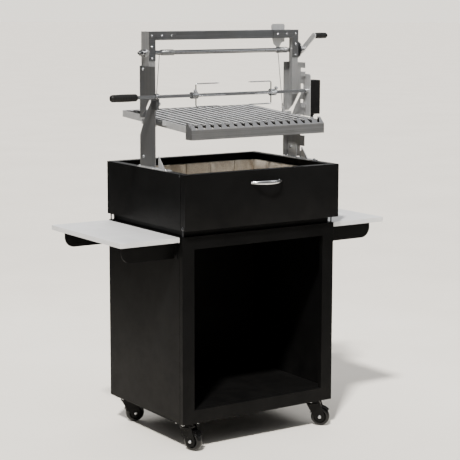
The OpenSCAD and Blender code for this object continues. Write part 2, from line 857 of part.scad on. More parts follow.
// Four-pronged fork on a square-bored hub; its prongs point along +X
module fork() {
    h = rod_side / 2 + 0.1;
    difference() {
        union() {
            rotate([0, 90, 0]) translate([0, 0, -hub_l / 2]) cylinder(r = hub_r, h = hub_l);
            for (a = [0 : 90 : 270]) rotate([a, 0, 0]) {
                translate([hub_l / 2 - 5, 0, hub_r - 2]) cylinder(r = wire_r, h = fork_r - hub_r - bend_r + 2, $fn = 24);
                translate([hub_l / 2 - 5 + bend_r, 0, fork_r - bend_r]) rotate([90, 0, 0]) rotate([0, 0, 90])
                    rotate_extrude(angle = 90) translate([bend_r, 0]) circle(r = wire_r, $fn = 24);
                translate([hub_l / 2 - 5 + bend_r, 0, fork_r]) rotate([0, 90, 0]) {
                    cylinder(r = wire_r, h = prong_len - 14, $fn = 24);
                    translate([0, 0, prong_len - 14]) cylinder(r1 = wire_r, r2 = 0.6, h = 14, $fn = 24);
                }
            }
        }
        translate([-hub_l, -h, -h]) cube([2 * hub_l, 2 * h, 2 * h]);
        translate([-5, 0, 0]) rotate([45, 0, 0]) cylinder(r = 3 + fit, h = hub_r + 5);
    }
}

// Thumbscrew of a fork, in a hole at 45 degrees between two prongs
module fork_screw() {
    translate([-5, 0, 0]) rotate([45, 0, 0]) {
        translate([0, 0, rod_side * 0.75]) cylinder(r = 3, h = 12);
        translate([0, 0, rod_side * 0.75 + 12]) cylinder(r = 7, h = 6);
    }
}

module at_fork(x, flip) {
    placed() translate([x, spit_y, spit_z]) mirror([flip ? 1 : 0, 0, 0]) children();
}

module fork_left() { color(bright) at_fork(fork_left_x, false) fork(); }

module fork_right() { color(bright) at_fork(fork_right_x, true) fork(); }

module fork_left_screw() { color(bright) at_fork(fork_left_x, false) fork_screw(); }

module fork_right_screw() { color(bright) at_fork(fork_right_x, true) fork_screw(); }

// Clip on the left plate's front edge, with an open seat for the spit's bush
module spit_support() {
    jaw_x0 = -plate_x - 4.3;
    jaw_x1 = -post_x + 4.3;
    color(bright) placed() difference() {
        union() {
            span([jaw_x0, plate_y0 - 18, support_z0], [jaw_x1, -60, support_z0 + 34]);
            yz_plate(seat_x0, seat_x1)
                polygon([[spit_y - 15, support_z0 + 30], [spit_y - 15, spit_z - 6], [spit_y, spit_z],
                         [spit_y + 9, spit_z + 8], [spit_y + 14, spit_z + 8], [spit_y + 20, support_z0 + 30]]);
        }
        span([-plate_x - 0.3, plate_y0 - 0.4, support_z0 - 1], [-post_x + 0.3, -59, spit_z + 20]);
        rod_x(seat_x0 - 1, seat_x1 + 1, spit_y, spit_z, bush_r + 0.1);
        yz_plate(seat_x0 - 1, seat_x1 + 1) translate([spit_y, spit_z]) rotate(145)
            translate([0, -bush_r - 0.1]) square([40, 2 * bush_r + 0.2]);
        rod_x(jaw_x1 - 8, jaw_x1 + 1, knob_y, knob_z, 3 + fit);
    }
}

knob_y = -70;
knob_z = 1288;

module support_knob() {
    x0 = -post_x + 0.4;
    color(bright) placed() {
        rod_x(x0, x0 + 16, knob_y, knob_z, 3);
        translate([x0 + 20, knob_y, knob_z]) sphere(r = 8);
    }
}

/* ---- castors ---- */

module castor_plates() {
    color(black) placed() for (c = [castor_fl, castor_fr, castor_bl, castor_br])
        translate([c[0] * castor_x, c[1] * castor_y, 0]) {
            difference() {
                span([-42, -32, cart_z - castor_plate_t - 0.05], [42, 32, cart_z - 0.05]);
                for (p = bolt_offsets)
                    rod_z(p[0], p[1], cart_z - castor_plate_t - 1, cart_z + 1, bolt_hole_r);
            }
            rod_z(0, 0, race_z, cart_z - castor_plate_t, 25);
            rod_z(0, 0, race_z - 14, race_z + eps, 5);
            rod_z(0, 0, race_z - 14, race_z - 10.4, 9);
            for (p = bolt_offsets) {
                translate([p[0], p[1], cart_z - castor_plate_t - 0.1]) rotate([180, 0, 0])
                    cylinder(r = 6.5, h = 5, $fn = 6);
                rod_z(p[0], p[1], cart_z - castor_plate_t - 1, cart_z + 9, 4);
                translate([p[0], p[1], cart_z + 3.1]) cylinder(r = 5.6, h = 5, $fn = 6);
            }
        }
}

// Outline of a castor fork's cheek, from the swivel plate down round the axle
module cheek() {
    hull() {
        translate([-25, race_z - 10]) square([54, 9.5]);
        translate([trail, wheel_r]) circle(r = 21);
    }
}

// Swivelling fork with its axle, drawn about the swivel axis with the trail along +X
module castor_fork() {
    leg_y = wheel_w / 2 + 2;
    leg_t = 3;
    color(black) {
        difference() {
            union() {
                rod_z(0, 0, race_z - 10, race_z - 0.3, 27);
                translate([2, 0, 0]) span([-27, -leg_y - leg_t, race_z - 10], [27, leg_y + leg_t, race_z - 5]);
                for (s = [-1, 1]) translate([0, s * (leg_y + leg_t / 2), 0]) xz_plate(-leg_t / 2, leg_t / 2) cheek();
            }
            rod_z(0, 0, race_z - 11, race_z + 1, 5 + fit);
            rod_y(trail, -leg_y - 5, leg_y + 5, wheel_r, 4 + fit);
        }
    }
    color(steel) {
        rod_y(trail, -leg_y - leg_t - 1, leg_y + leg_t + 1, wheel_r, 4);
        for (s = [-1, 1]) translate([trail, s * (leg_y + leg_t + 0.3), wheel_r]) rotate([-90 * s, 0, 0])
            cylinder(r = 6.5, h = 4, $fn = 6);
    }
}

module castor_wheel() {
    h = wheel_w / 2;
    color("#141414") translate([trail, 0, wheel_r]) rotate([90, 0, 0]) rotate_extrude($fn = 96)
        polygon(concat(
            [[4 + fit, -h + 1], [10, -h], [wheel_r - 14, -h + 2]],
            [for (a = [-75 : 15 : 75]) [wheel_r - 10 + 10 * cos(a), (h - 1) * sin(a)]],
            [[wheel_r - 14, h - 2], [10, h], [4 + fit, h - 1]]));
}

module at_castor(c) {
    placed() translate([c[0] * castor_x, c[1] * castor_y, 0]) rotate(c[2]) children();
}

module castor_fork_fl() { at_castor(castor_fl) castor_fork(); }
module castor_fork_fr() { at_castor(castor_fr) castor_fork(); }
module castor_fork_bl() { at_castor(castor_bl) castor_fork(); }
module castor_fork_br() { at_castor(castor_br) castor_fork(); }
module castor_wheel_fl() { at_castor(castor_fl) castor_wheel(); }
module castor_wheel_fr() { at_castor(castor_fr) castor_wheel(); }
module castor_wheel_bl() { at_castor(castor_bl) castor_wheel(); }
module castor_wheel_br() { at_castor(castor_br) castor_wheel(); }

cart_front_frame();
cart_side_panels();
cart_back_panel();
cart_floor();
cart_base();
cart_top();
cart_bolts();
shelf_left();
shelf_right();
shelf_brackets();
firebox_plinth();
firebox_body();
firebrick_floor();
firebrick_walls();
door_pins();
firebox_door();
door_handle();
upright_feet();
upright_plate_left();
upright_plate_right();
upright_posts();
crossbar();
corner_plates();
frame_bolts();
winch_bushes();
winch_shaft();
winch_nuts();
cable_windings();
crank_arm();
crank_grip();
brake_plate();
lift_cables();
grate_sides();
grate_bars();
grate_rear_rail();
grate_front_rail();
grease_trough();
grate_guides();
motor_bracket();
motor_housing();
motor_gland();
drive_socket();
spit_rod();
spit_bush();
spit_handle();
fork_left();
fork_left_screw();
fork_right();
fork_right_screw();
spit_support();
support_knob();
castor_plates();
castor_fork_fl();
castor_fork_fr();
castor_fork_bl();
castor_fork_br();
castor_wheel_fl();
castor_wheel_fr();
castor_wheel_bl();
castor_wheel_br();
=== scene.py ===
import json
import math
import random

import bmesh
import bpy
from mathutils import Matrix, Vector, noise


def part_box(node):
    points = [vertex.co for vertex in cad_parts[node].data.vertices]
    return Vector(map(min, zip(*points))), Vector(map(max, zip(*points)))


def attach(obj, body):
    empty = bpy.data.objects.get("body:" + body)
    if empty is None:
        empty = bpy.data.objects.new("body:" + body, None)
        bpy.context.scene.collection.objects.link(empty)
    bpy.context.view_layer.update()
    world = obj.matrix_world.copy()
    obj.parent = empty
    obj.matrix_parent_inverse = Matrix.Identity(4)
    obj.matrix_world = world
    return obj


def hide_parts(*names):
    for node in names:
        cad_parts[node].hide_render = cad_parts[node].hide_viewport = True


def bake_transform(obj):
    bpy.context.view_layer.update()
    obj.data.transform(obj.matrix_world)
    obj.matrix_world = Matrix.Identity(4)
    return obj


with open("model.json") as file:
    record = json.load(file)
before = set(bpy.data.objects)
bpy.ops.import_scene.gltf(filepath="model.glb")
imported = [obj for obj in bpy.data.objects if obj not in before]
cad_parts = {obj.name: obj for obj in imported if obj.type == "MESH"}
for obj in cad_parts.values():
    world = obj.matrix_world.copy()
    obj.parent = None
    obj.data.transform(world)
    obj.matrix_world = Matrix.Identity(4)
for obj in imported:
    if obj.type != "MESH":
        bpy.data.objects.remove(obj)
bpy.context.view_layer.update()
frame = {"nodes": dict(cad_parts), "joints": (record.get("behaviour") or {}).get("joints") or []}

NODES = frame["nodes"]
MM = 0.001
X, Y, Z = Vector((1, 0, 0)), Vector((0, 1, 0)), Vector((0, 0, 1))
CORNERS = ("fl", "fr", "bl", "br")


def put(name, data):
    """A new object in the scene."""
    o = bpy.data.objects.new(name, data)
    bpy.context.scene.collection.objects.link(o)
    return o


# ---------------------------------------------------------------- materials

# Near-black of the painted shade, with sooty grime, in the grate's gutters and undersides and inside the
# trough.
SHADE_AND_SOOT = (0.006, 0.0055, 0.005)


def set_stops(band, stops):
    """Sets a colour ramp's stops; each is (position, grey or colour)."""
    while len(band.elements) < len(stops):
        band.elements.new(0.5)
    for element, (at, value) in zip(band.elements, stops):
        colour = (value, value, value) if isinstance(value, (int, float)) else value
        element.position = at
        element.color = (*colour, 1)


class Shader:
    """A material under construction: short names for making and linking its nodes."""

    def __init__(self, name):
        self.mat = bpy.data.materials.new(name)
        self.mat.use_nodes = True
        self.tree = self.mat.node_tree
        self.bsdf = self.tree.nodes["Principled BSDF"]
        self.place = self.add("ShaderNodeTexCoord").outputs["Object"]

    def add(self, kind, **props):
        """A new node with the given properties."""
        node = self.tree.nodes.new(kind)
        for key, value in props.items():
            setattr(node, key, value)
        return node

    def link(self, source, node, socket):
        """Runs an output into a node's input."""
        self.tree.links.new(source, node.inputs[socket])

    def set(self, **values):
        """Constant values on the Principled BSDF's own sockets."""
        names = {"metal": "Metallic", "rough": "Roughness", "spec": "Specular IOR Level"}
        for key, value in values.items():
            self.bsdf.inputs[names[key]].default_value = value

    def stretched(self, scale):
        """The object's coordinates scaled per axis, so that a noise runs in streaks."""
        node = self.add("ShaderNodeMapping")
        node.inputs["Scale"].default_value = scale
        self.link(self.place, node, "Vector")
        return node.outputs["Vector"]

    def noise(self, scale, detail=4.0, rough=0.55, where=None, warp=0.0):
        """Fractal noise over the object's coordinates, or over those given in where."""
        node = self.add("ShaderNodeTexNoise")
        node.inputs["Scale"].default_value = scale
        node.inputs["Detail"].default_value = detail
        node.inputs["Roughness"].default_value = rough
        node.inputs["Distortion"].default_value = warp
        self.link(where or self.place, node, "Vector")
        return node.outputs["Fac"]

    def cells(self, scale, out="Distance"):
        """A Voronoi cell pattern: the distance to each cell's point, or its colour."""
        node = self.add("ShaderNodeTexVoronoi", feature="F1")
        node.inputs["Scale"].default_value = scale
        self.link(self.place, node, "Vector")
        return node.outputs[out]

    def ramp(self, source, stops):
        """A colour ramp; each stop is (position, grey or colour)."""
        node = self.add("ShaderNodeValToRGB")
        set_stops(node.color_ramp, stops)
        self.link(source, node, "Fac")
        return node.outputs["Color"]

    def span(self, source, lo, hi, from_lo=0.3, from_hi=0.7):
        """Maps the range from_lo to from_hi onto lo to hi, and clamps beyond it."""
        node = self.add("ShaderNodeMapRange")
        for key, value in (("From Min", from_lo), ("From Max", from_hi), ("To Min", lo), ("To Max", hi)):
            node.inputs[key].default_value = value
        self.link(source, node, "Value")
        return node.outputs["Result"]

    def math(self, kind, a, b):
        """A calculation with two values, each a number or an output."""
        node = self.add("ShaderNodeMath", operation=kind)
        for index, value in enumerate((a, b)):
            if isinstance(value, (int, float)):
                node.inputs[index].default_value = value
            else:
                self.tree.links.new(value, node.inputs[index])
        return node.outputs[0]

    def mix(self, fac, a, b, blend="MIX"):
        """Mixes two colours; a Mix node takes colours at inputs 6 and 7 and gives them at output 2."""
        node = self.add("ShaderNodeMix", data_type="RGBA", blend_type=blend)
        for index, value in ((0, fac), (6, a), (7, b)):
            if isinstance(value, (int, float)):
                node.inputs[index].default_value = value
            elif isinstance(value, tuple):
                node.inputs[index].default_value = (*value, 1)
            else:
                self.tree.links.new(value, node.inputs[index])
        return node.outputs[2]

    def axis(self, name):
        """One of the object's coordinates: "X", "Y" or "Z"."""
        node = self.add("ShaderNodeSeparateXYZ")
        self.link(self.place, node, 0)
        return node.outputs[name]

    def colour(self, source):
        self.link(source, self.bsdf, "Base Color")

    def rough(self, source):
        self.link(source, self.bsdf, "Roughness")

    def bump(self, *layers):
        """Bump layers of (height, depth in metres), one on the other."""
        last = None
        for height, depth in layers:
            node = self.add("ShaderNodeBump")
            node.inputs["Distance"].default_value = depth
            node.inputs["Strength"].default_value = 1.0
            self.link(height, node, "Height")
            if last is not None:
                self.link(last, node, "Normal")
            last = node.outputs["Normal"]
        self.link(last, self.bsdf, "Normal")


def powder_coat(name, dark, light, rough_lo, rough_hi, dust, low_z=0.1, high_z=0.45, spec=0.09):
    """Satin black powder coat: orange peel, cloudy sheen, faint scuffs, and dust that thickens from the
    height high_z down to low_z."""
    s = Shader(name)
    s.set(metal=0.0, spec=spec)
    cloud = s.noise(5, 6, 0.6, warp=0.6)
    base = s.ramp(cloud, [(0.3, dark), (0.7, light)])
    speck = s.ramp(s.noise(420, 2, 0.5), [(0.66, 0.0), (0.74, 1.0)])
    height = s.span(s.axis("Z"), 1.0, 0.0, low_z, high_z)
    patches = s.span(s.noise(14, 5, 0.7), 0.0, 1.0)
    dusting = s.math("MULTIPLY", s.math("MULTIPLY", height, patches), 0.30 * dust)
    flecks = s.math("MULTIPLY", speck, 0.10 * dust)
    tinted = s.mix(dusting, base, (0.16, 0.145, 0.125))
    s.colour(s.mix(flecks, tinted, (0.22, 0.21, 0.2)))
    scuff = s.ramp(s.noise(9, 8, 0.75, s.stretched((1, 1, 6))), [(0.56, 0.0), (0.72, 1.0)])
    satin = s.span(s.noise(22, 6, 0.65), rough_lo, rough_hi)
    scuffed = s.math("ADD", satin, s.math("MULTIPLY", scuff, 0.07))
    s.rough(s.math("ADD", scuffed, s.math("MULTIPLY", dusting, 0.8)))
    s.bump((s.noise(760, 2, 0.5), 0.00007), (s.noise(60, 3, 0.5), 0.00010))
    return s.mat


def brushed(name, along, dark, light, rough_lo, rough_hi, heat=0.0, streak=1.0, metal=1.0, fine=620,
            painted_shade_and_soot=None):
    """Brushed stainless steel: grain along one axis, handling marks and heat tint. The darkening function,
    where given, returns how far the steel is darkened at each point (0 to 1): painted shade with sooty grime."""
    s = Shader(name)
    s.set(metal=metal, spec=0.06 if painted_shade_and_soot else 0.5)
    coarse = tuple(1.6 if axis == along else fine * 0.35 for axis in "XYZ")
    thin = tuple(6.0 if axis == along else fine * 1.6 for axis in "XYZ")
    grain = s.noise(1.0, 6, 0.7, s.stretched(coarse))
    hair = s.noise(1.0, 3, 0.6, s.stretched(thin))
    base = s.ramp(grain, [(0.28, dark), (0.72, light)])
    cloud = s.noise(7, 5, 0.6, warp=0.8)
    base = s.mix(s.span(cloud, 0.0, 0.22), base, tuple(c * 0.62 for c in dark))
    if heat:
        tint = s.ramp(s.noise(4.5, 4, 0.6, warp=1.2), [(0.42, (1, 1, 1)), (0.56, (0.93, 0.80, 0.58)),
                                                      (0.66, (0.62, 0.55, 0.62)), (0.78, (0.72, 0.78, 0.9))])
        base = s.mix(heat, base, tint, "MULTIPLY")
    smudge = s.span(s.noise(16, 6, 0.7, warp=0.5), -0.04, 0.07)
    rough = s.math("ADD", s.math("ADD", s.span(hair, rough_lo, rough_hi), smudge), s.span(grain, -0.03, 0.03))
    # Painted shade with sooty grime: the steel goes dark, loses its metal and roughens where the darkening
    # function says.
    if painted_shade_and_soot:
        shade_and_soot_mask = s.math("MULTIPLY", painted_shade_and_soot(s), s.span(s.noise(45, 6, 0.7), 0.90, 1.0))
        base = s.mix(shade_and_soot_mask, base, SHADE_AND_SOOT)
        s.link(s.span(shade_and_soot_mask, metal, 0.0, 0.0, 1.0), s.bsdf, "Metallic")
        rough = s.math("ADD", rough, s.math("MULTIPLY", shade_and_soot_mask, 0.4))
    s.colour(base)
    s.rough(rough)
    s.bump((hair, 0.000022 * streak), (grain, 0.000035 * streak), (s.noise(11, 3, 0.5), 0.00035))
    return s.mat


def polished(name, tone, rough_lo, rough_hi, mottle=0.22, dents=1.0):
    """Bright turned steel: fine scratches in all directions, finger marks and a little oil."""
    s = Shader(name)
    s.set(metal=1.0)
    marks = s.noise(130, 8, 0.8, warp=1.5)
    s.colour(s.mix(s.span(s.noise(26, 5, 0.65), 0.0, mottle), tone, tuple(c * 0.58 for c in tone)))
    s.rough(s.span(marks, rough_lo, rough_hi))
    s.bump((s.noise(900, 3, 0.6, s.stretched((1, 0.12, 1))), 0.000015 * dents),
           (s.noise(75, 4, 0.6), 0.00006 * dents))
    return s.mat


def firebrick(name):
    """Cream firebrick: grog speckle, iron spots, pores, chipped tone, sooty staining rising from the fire."""
    s = Shader(name)
    s.set(metal=0.0, spec=0.18)
    body = s.ramp(s.noise(24, 8, 0.7, warp=0.4), [(0.25, (0.66, 0.56, 0.44)), (0.5, (0.78, 0.70, 0.58)),
                                                 (0.78, (0.86, 0.80, 0.70))])
    grog = s.ramp(s.cells(420, out="Color"), [(0.0, 0.80), (1.0, 1.12)])
    body = s.mix(1.0, body, grog, "MULTIPLY")
    spots = s.ramp(s.cells(150), [(0.05, 1.0), (0.13, 0.0)])
    body = s.mix(s.math("MULTIPLY", spots, 0.55), body, (0.16, 0.085, 0.04))
    black_z, clean_z = 0.865, 0.99   # heights between which the sooty staining fades
    low = s.span(s.axis("Z"), 1.0, 0.0, black_z, clean_z)
    smoke = s.math("MULTIPLY", low, s.span(s.noise(9, 6, 0.7, warp=1.0), 0.35, 1.0))
    s.colour(s.mix(s.math("MULTIPLY", smoke, 0.45), body, (0.045, 0.040, 0.036)))
    s.rough(s.span(s.noise(60, 5), 0.82, 0.97))
    pores = s.ramp(s.cells(520), [(0.10, 0.0), (0.32, 1.0)])
    s.bump((pores, 0.0005), (s.noise(210, 8, 0.75), 0.0007), (s.noise(26, 5, 0.6), 0.0012))
    return s.mat


def moulded(name, dark, light, rough_lo, rough_hi, dust, spec, grain=900, depth=0.00006):
    """Moulded plastic: spark-eroded grain, faint flow clouds, dust in the low places."""
    s = Shader(name)
    s.set(metal=0.0, spec=spec)
    base = s.ramp(s.noise(30, 5, 0.6), [(0.3, dark), (0.7, light)])
    film = s.math("MULTIPLY", s.span(s.noise(55, 7, 0.75), 0.0, 1.0), dust)
    s.colour(s.mix(film, base, (0.20, 0.185, 0.165)))
    s.rough(s.math("ADD", s.span(s.noise(70, 5), rough_lo, rough_hi), s.math("MULTIPLY", film, 0.5)))
    s.bump((s.noise(grain, 3, 0.6), depth), (s.noise(90, 3, 0.5), depth * 1.5))
    return s.mat


def pale_floor(name):
    """Warm pale floor, slightly cloudy."""
    s = Shader(name)
    s.set(metal=0.0, spec=0.25)
    s.colour(s.ramp(s.noise(1.3, 4, 0.5), [(0.3, (0.89, 0.84, 0.75)), (0.7, (0.94, 0.89, 0.80))]))
    s.rough(s.span(s.noise(5, 4), 0.62, 0.74))
    s.bump((s.noise(90, 4), 0.0002))
    return s.mat


bars_lo, bars_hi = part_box("grate_bars")
trough_lo, trough_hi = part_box("grease_trough")
BAR_DEPTH = 13 * MM     # depth of a V bar
UNSHADED_SKIN = 1.3 * MM   # outer part of the trough's sheet that the painted shade leaves bare
# width over which the trough's painted shade fades in
SHADE_FADE = 0.3 * MM


def gutter_shade_and_soot(s):
    """Painted shade with sooty grime low in the V gutters of the sloping grate and all over their undersides.
    """
    slope = (bars_hi.z - bars_lo.z - BAR_DEPTH) / (bars_hi.y - bars_lo.y)
    surface = s.math("ADD", s.math("MULTIPLY", s.axis("Y"), slope), bars_hi.z - slope * bars_hi.y)
    below = s.math("SUBTRACT", surface, s.axis("Z"))
    facing = s.add("ShaderNodeSeparateXYZ")
    s.link(s.add("ShaderNodeNewGeometry").outputs["Normal"], facing, 0)
    # Painted shade deep in each V and on every face turned downwards.
    inside = s.span(below, 0.0, 1.0, BAR_DEPTH * 0.05, BAR_DEPTH * 0.16)
    return s.math("MAXIMUM", inside, s.span(facing.outputs["Z"], 1.0, 0.0, -0.35, -0.05))


def trough_shade_and_soot(s):
    """Painted shade with charred grease on the inner faces of the trough."""
    end = trough_hi.x - UNSHADED_SKIN
    front = trough_lo.y + UNSHADED_SKIN
    bottom = trough_lo.z + UNSHADED_SKIN
    aside = s.math("ABSOLUTE", s.axis("X"), 0.0)
    inner = s.math("MULTIPLY", s.span(aside, 1.0, 0.0, end - SHADE_FADE, end),
                   s.span(s.axis("Y"), 0.0, 1.0, front, front + SHADE_FADE))
    return s.math("MULTIPLY", inner, s.span(s.axis("Z"), 0.0, 1.0, bottom, bottom + SHADE_FADE))


COAT = powder_coat("satin_black_coat", 0.0022, 0.0040, 0.38, 0.50, dust=0.07, spec=0.05)
COAT_BOX = powder_coat("satin_black_firebox", 0.0028, 0.0050, 0.32, 0.44, dust=0.08,
                       low_z=0.84, high_z=0.95)
COAT_SMALL = powder_coat("black_bracket_coat", 0.0026, 0.0046, 0.38, 0.5, dust=0.1)
# Shaded copy of the uprights' brushed steel: its darker tones are painted shade on the left upright's plate.
STEEL_Z_PAINTED_SHADE = brushed("brushed_steel_upright_painted_shade", "Z", (0.25, 0.254, 0.258), (0.39, 0.394, 0.398), 0.30, 0.46,
                  heat=0.12, metal=0.93, fine=1100)
# Lit copy of the same brushed steel: its lighter tones are painted light on the right plate and the posts.
STEEL_POST_PAINTED_LIGHT = brushed("brushed_steel_post_painted_light", "Z", (0.42, 0.424, 0.428), (0.60, 0.604, 0.608), 0.32, 0.48,
                     heat=0.08, metal=0.82, fine=1100)
STEEL_X = brushed("brushed_steel_across", "X", (0.18, 0.183, 0.187), (0.36, 0.364, 0.368), 0.28, 0.44,
                  heat=0.12, fine=1000)
# Grate bars' steel: its light tones are painted sunlight on the bars, and its gutters and undersides get
# painted shade.
STEEL_Y_PAINTED_LIGHT_AND_SHADE = brushed("brushed_steel_bars_painted_light_and_shade", "Y", (0.64, 0.644, 0.648), (0.86, 0.864, 0.868), 0.26, 0.40,
                  heat=0.12, painted_shade_and_soot=gutter_shade_and_soot)
STEEL_TROUGH = brushed("brushed_steel_rails", "X", (0.30, 0.304, 0.308), (0.54, 0.544, 0.548), 0.28, 0.42,
                       heat=0.08, fine=1000)
# Trough steel: painted shade with charred grease on its inner faces.
STEEL_PAN = brushed("brushed_steel_trough", "X", (0.21, 0.213, 0.216), (0.37, 0.373, 0.376), 0.28, 0.42,
                    heat=0.08, metal=0.86, fine=1000, painted_shade_and_soot=trough_shade_and_soot)
STEEL_LIGHT = brushed("light_brushed_steel", "Z", (0.52, 0.524, 0.528), (0.72, 0.724, 0.728), 0.36, 0.50,
                      heat=0.05, metal=0.72, fine=900)
# Shelf steel, pale and mostly non-metallic so that it reads light grey all over: its pale tone is partly
# painted sunlight.
STEEL_PALE_PAINTED_LIGHT = brushed("pale_brushed_steel_painted_light", "Y", (0.72, 0.72, 0.715), (0.84, 0.84, 0.835), 0.44, 0.58,
                     streak=0.7, metal=0.35)
BRIGHT = polished("bright_steel", (0.60, 0.605, 0.61), 0.14, 0.28)
SHAFT = polished("ground_steel_shaft", (0.34, 0.343, 0.346), 0.24, 0.34, mottle=0.08, dents=0.25)
PIN = polished("blued_steel_pins", (0.10, 0.102, 0.106), 0.24, 0.36)
ZINC = polished("zinc_fasteners", (0.50, 0.51, 0.52), 0.22, 0.36)
ROPE = polished("wire_rope_steel", (0.46, 0.465, 0.47), 0.28, 0.42)
BRICK = firebrick("cream_firebrick")
GRIP = moulded("grip_black", 0.004, 0.008, 0.40, 0.55, dust=0.02, spec=0.25)
MOTOR = moulded("motor_case_black", 0.004, 0.008, 0.44, 0.58, dust=0.01, spec=0.08,
                grain=700, depth=0.00009)
CASTOR = moulded("castor_gloss_black", 0.002, 0.004, 0.14, 0.26, dust=0.005, spec=0.09,
                 grain=300, depth=0.00003)
TREAD = moulded("castor_tread", 0.003, 0.006, 0.12, 0.24, dust=0.02, spec=0.26,
                grain=260, depth=0.00005)
FLOOR = pale_floor("pale_floor")

# ---------------------------------------------------------------- CAD nodes that stay

TOUCHING = 0.01 * MM   # corners this close are one
FLAT_ANGLE = 0.6       # degrees; faces that meet at less are one face
EDGE_ANGLE = 32        # degrees; edges that turn by more are rolled
SHARP_ANGLE = 38       # degrees; edges that turn by more stay sharp in shading


def dress(material, *names, bevel, segments=2):
    """Gives CAD nodes a material and edges rolled by bevel millimetres; their meshes stay as they are."""
    for name in names:
        o = NODES[name]
        o.data.materials.clear()
        o.data.materials.append(material)
        soften(o, bevel, segments)


def soften(o, bevel, segments=2):
    """Welds and flattens a mesh, rolls its edges by bevel millimetres and shades it smooth."""
    weld = o.modifiers.new("weld", "WELD")
    weld.merge_threshold = TOUCHING
    flat = o.modifiers.new("flat", "DECIMATE")
    flat.decimate_type = "DISSOLVE"
    flat.angle_limit = math.radians(FLAT_ANGLE)
    edge = o.modifiers.new("edge", "BEVEL")
    edge.width = bevel * MM
    edge.segments = segments
    edge.limit_method = "ANGLE"
    edge.angle_limit = math.radians(EDGE_ANGLE)
    edge.use_clamp_overlap = True
    edge.miter_outer = "MITER_ARC"
    for p in o.data.polygons:
        p.use_smooth = True
    shade = o.modifiers.new("shade", "WEIGHTED_NORMAL")
    shade.keep_sharp = True
    shade.weight = 60


# ---------------------------------------------------------------- mesh helpers


def piece(name, bm, material, body, replaces=(), smooth=True, soft_edge=None):
    """Turns a bmesh in the row frame into a named piece on a body."""
    mesh = bpy.data.meshes.new(name)
    bmesh.ops.recalc_face_normals(bm, faces=bm.faces)
    bm.to_mesh(mesh)
    bm.free()
    o = put(name, mesh)
    mesh.materials.append(material)
    if smooth:
        for p in mesh.polygons:
            p.use_smooth = True
        mesh.set_sharp_from_angle(angle=math.radians(SHARP_ANGLE))
    if soft_edge:
        soften(o, soft_edge)
    if body:
        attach(o, body)
    if replaces:
        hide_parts(*replaces)
    return o


def frame_at(origin, axis, side=None):
    """A matrix whose Z runs along axis, placed at origin."""
    z = Vector(axis).normalized()
    ref = Vector(side) if side else (X if abs(z.x) < 0.9 else Y)
    y = z.cross(ref).normalized()
    x = y.cross(z)
    return Matrix.Translation(Vector(origin)) @ Matrix((x, y, z)).transposed().to_4x4()


def bridge(bm, low, high):
    """Joins two rings of corners with faces; one of them may be a single corner."""
    count = max(len(low), len(high))
    for i in range(count):
        j = (i + 1) % count
        if len(low) == 1:
            bm.faces.new((low[0], high[i], high[j]))
        elif len(high) == 1:
            bm.faces.new((low[i], low[j], high[0]))
        else:
            bm.faces.new((low[i], low[j], high[j], high[i]))


def lathe(bm, profile, at, steps, closed=False):
    """Spins (radius, height) pairs in metres round the Z axis of matrix at."""
    rings = []
    for r, h in profile:
        if r < 1e-7:
            rings.append([bm.verts.new(at @ Vector((0, 0, h)))])
        else:
            rings.append([bm.verts.new(at @ Vector((r * math.cos(a), r * math.sin(a), h)))
                          for a in (2 * math.pi * i / steps for i in range(steps))])
    pairs = list(zip(rings, rings[1:])) + ([(rings[-1], rings[0])] if closed else [])
    for low, high in pairs:
        bridge(bm, low, high)
    return rings


def tube(bm, points, radius, sides, flat=1.0):
    """Sweeps a round or flattened section along points; radius is a number or one per point."""
    points = [Vector(p) for p in points]
    radii = radius if isinstance(radius, (list, tuple)) else [radius] * len(points)
    rings, normal = [], None
    for i, p in enumerate(points):
        t = (points[min(i + 1, len(points) - 1)] - points[max(i - 1, 0)]).normalized()
        if normal is None:
            normal = t.cross(Z if abs(t.z) < 0.9 else X).normalized()
        normal = (normal - t * normal.dot(t)).normalized()
        wide, thin = normal * radii[i], t.cross(normal) * (radii[i] * flat)
        rings.append([bm.verts.new(p + wide * math.cos(a) + thin * math.sin(a))
                      for a in (2 * math.pi * k / sides for k in range(sides))])
    for low, high in zip(rings, rings[1:]):
        bridge(bm, low, high)
    bm.faces.new(rings[0])
    bm.faces.new(rings[-1])


def mm(*pairs):
    """Converts (radius, height) pairs from millimetres to metres."""
    return [(r * MM, h * MM) for r, h in pairs]


def block(bm, lo, hi):
    """An axis-aligned block, returned as its vertices."""
    made = bmesh.ops.create_cube(bm, size=1.0)["verts"]
    lo, hi = Vector(lo), Vector(hi)
    size, centre = hi - lo, (hi + lo) / 2
    for v in made:
        v.co = Vector((v.co.x * size.x, v.co.y * size.y, v.co.z * size.z)) + centre
    return made


def hex_ring(bm, r, at, h):
    """Six corners at radius r and height h over matrix at."""
    angles = [math.pi * i / 3 for i in range(6)]
    return [bm.verts.new(at @ Vector((r * math.cos(a), r * math.sin(a), h))) for a in angles]


WASHER = 1.38   # a washer's radius over its screw head's


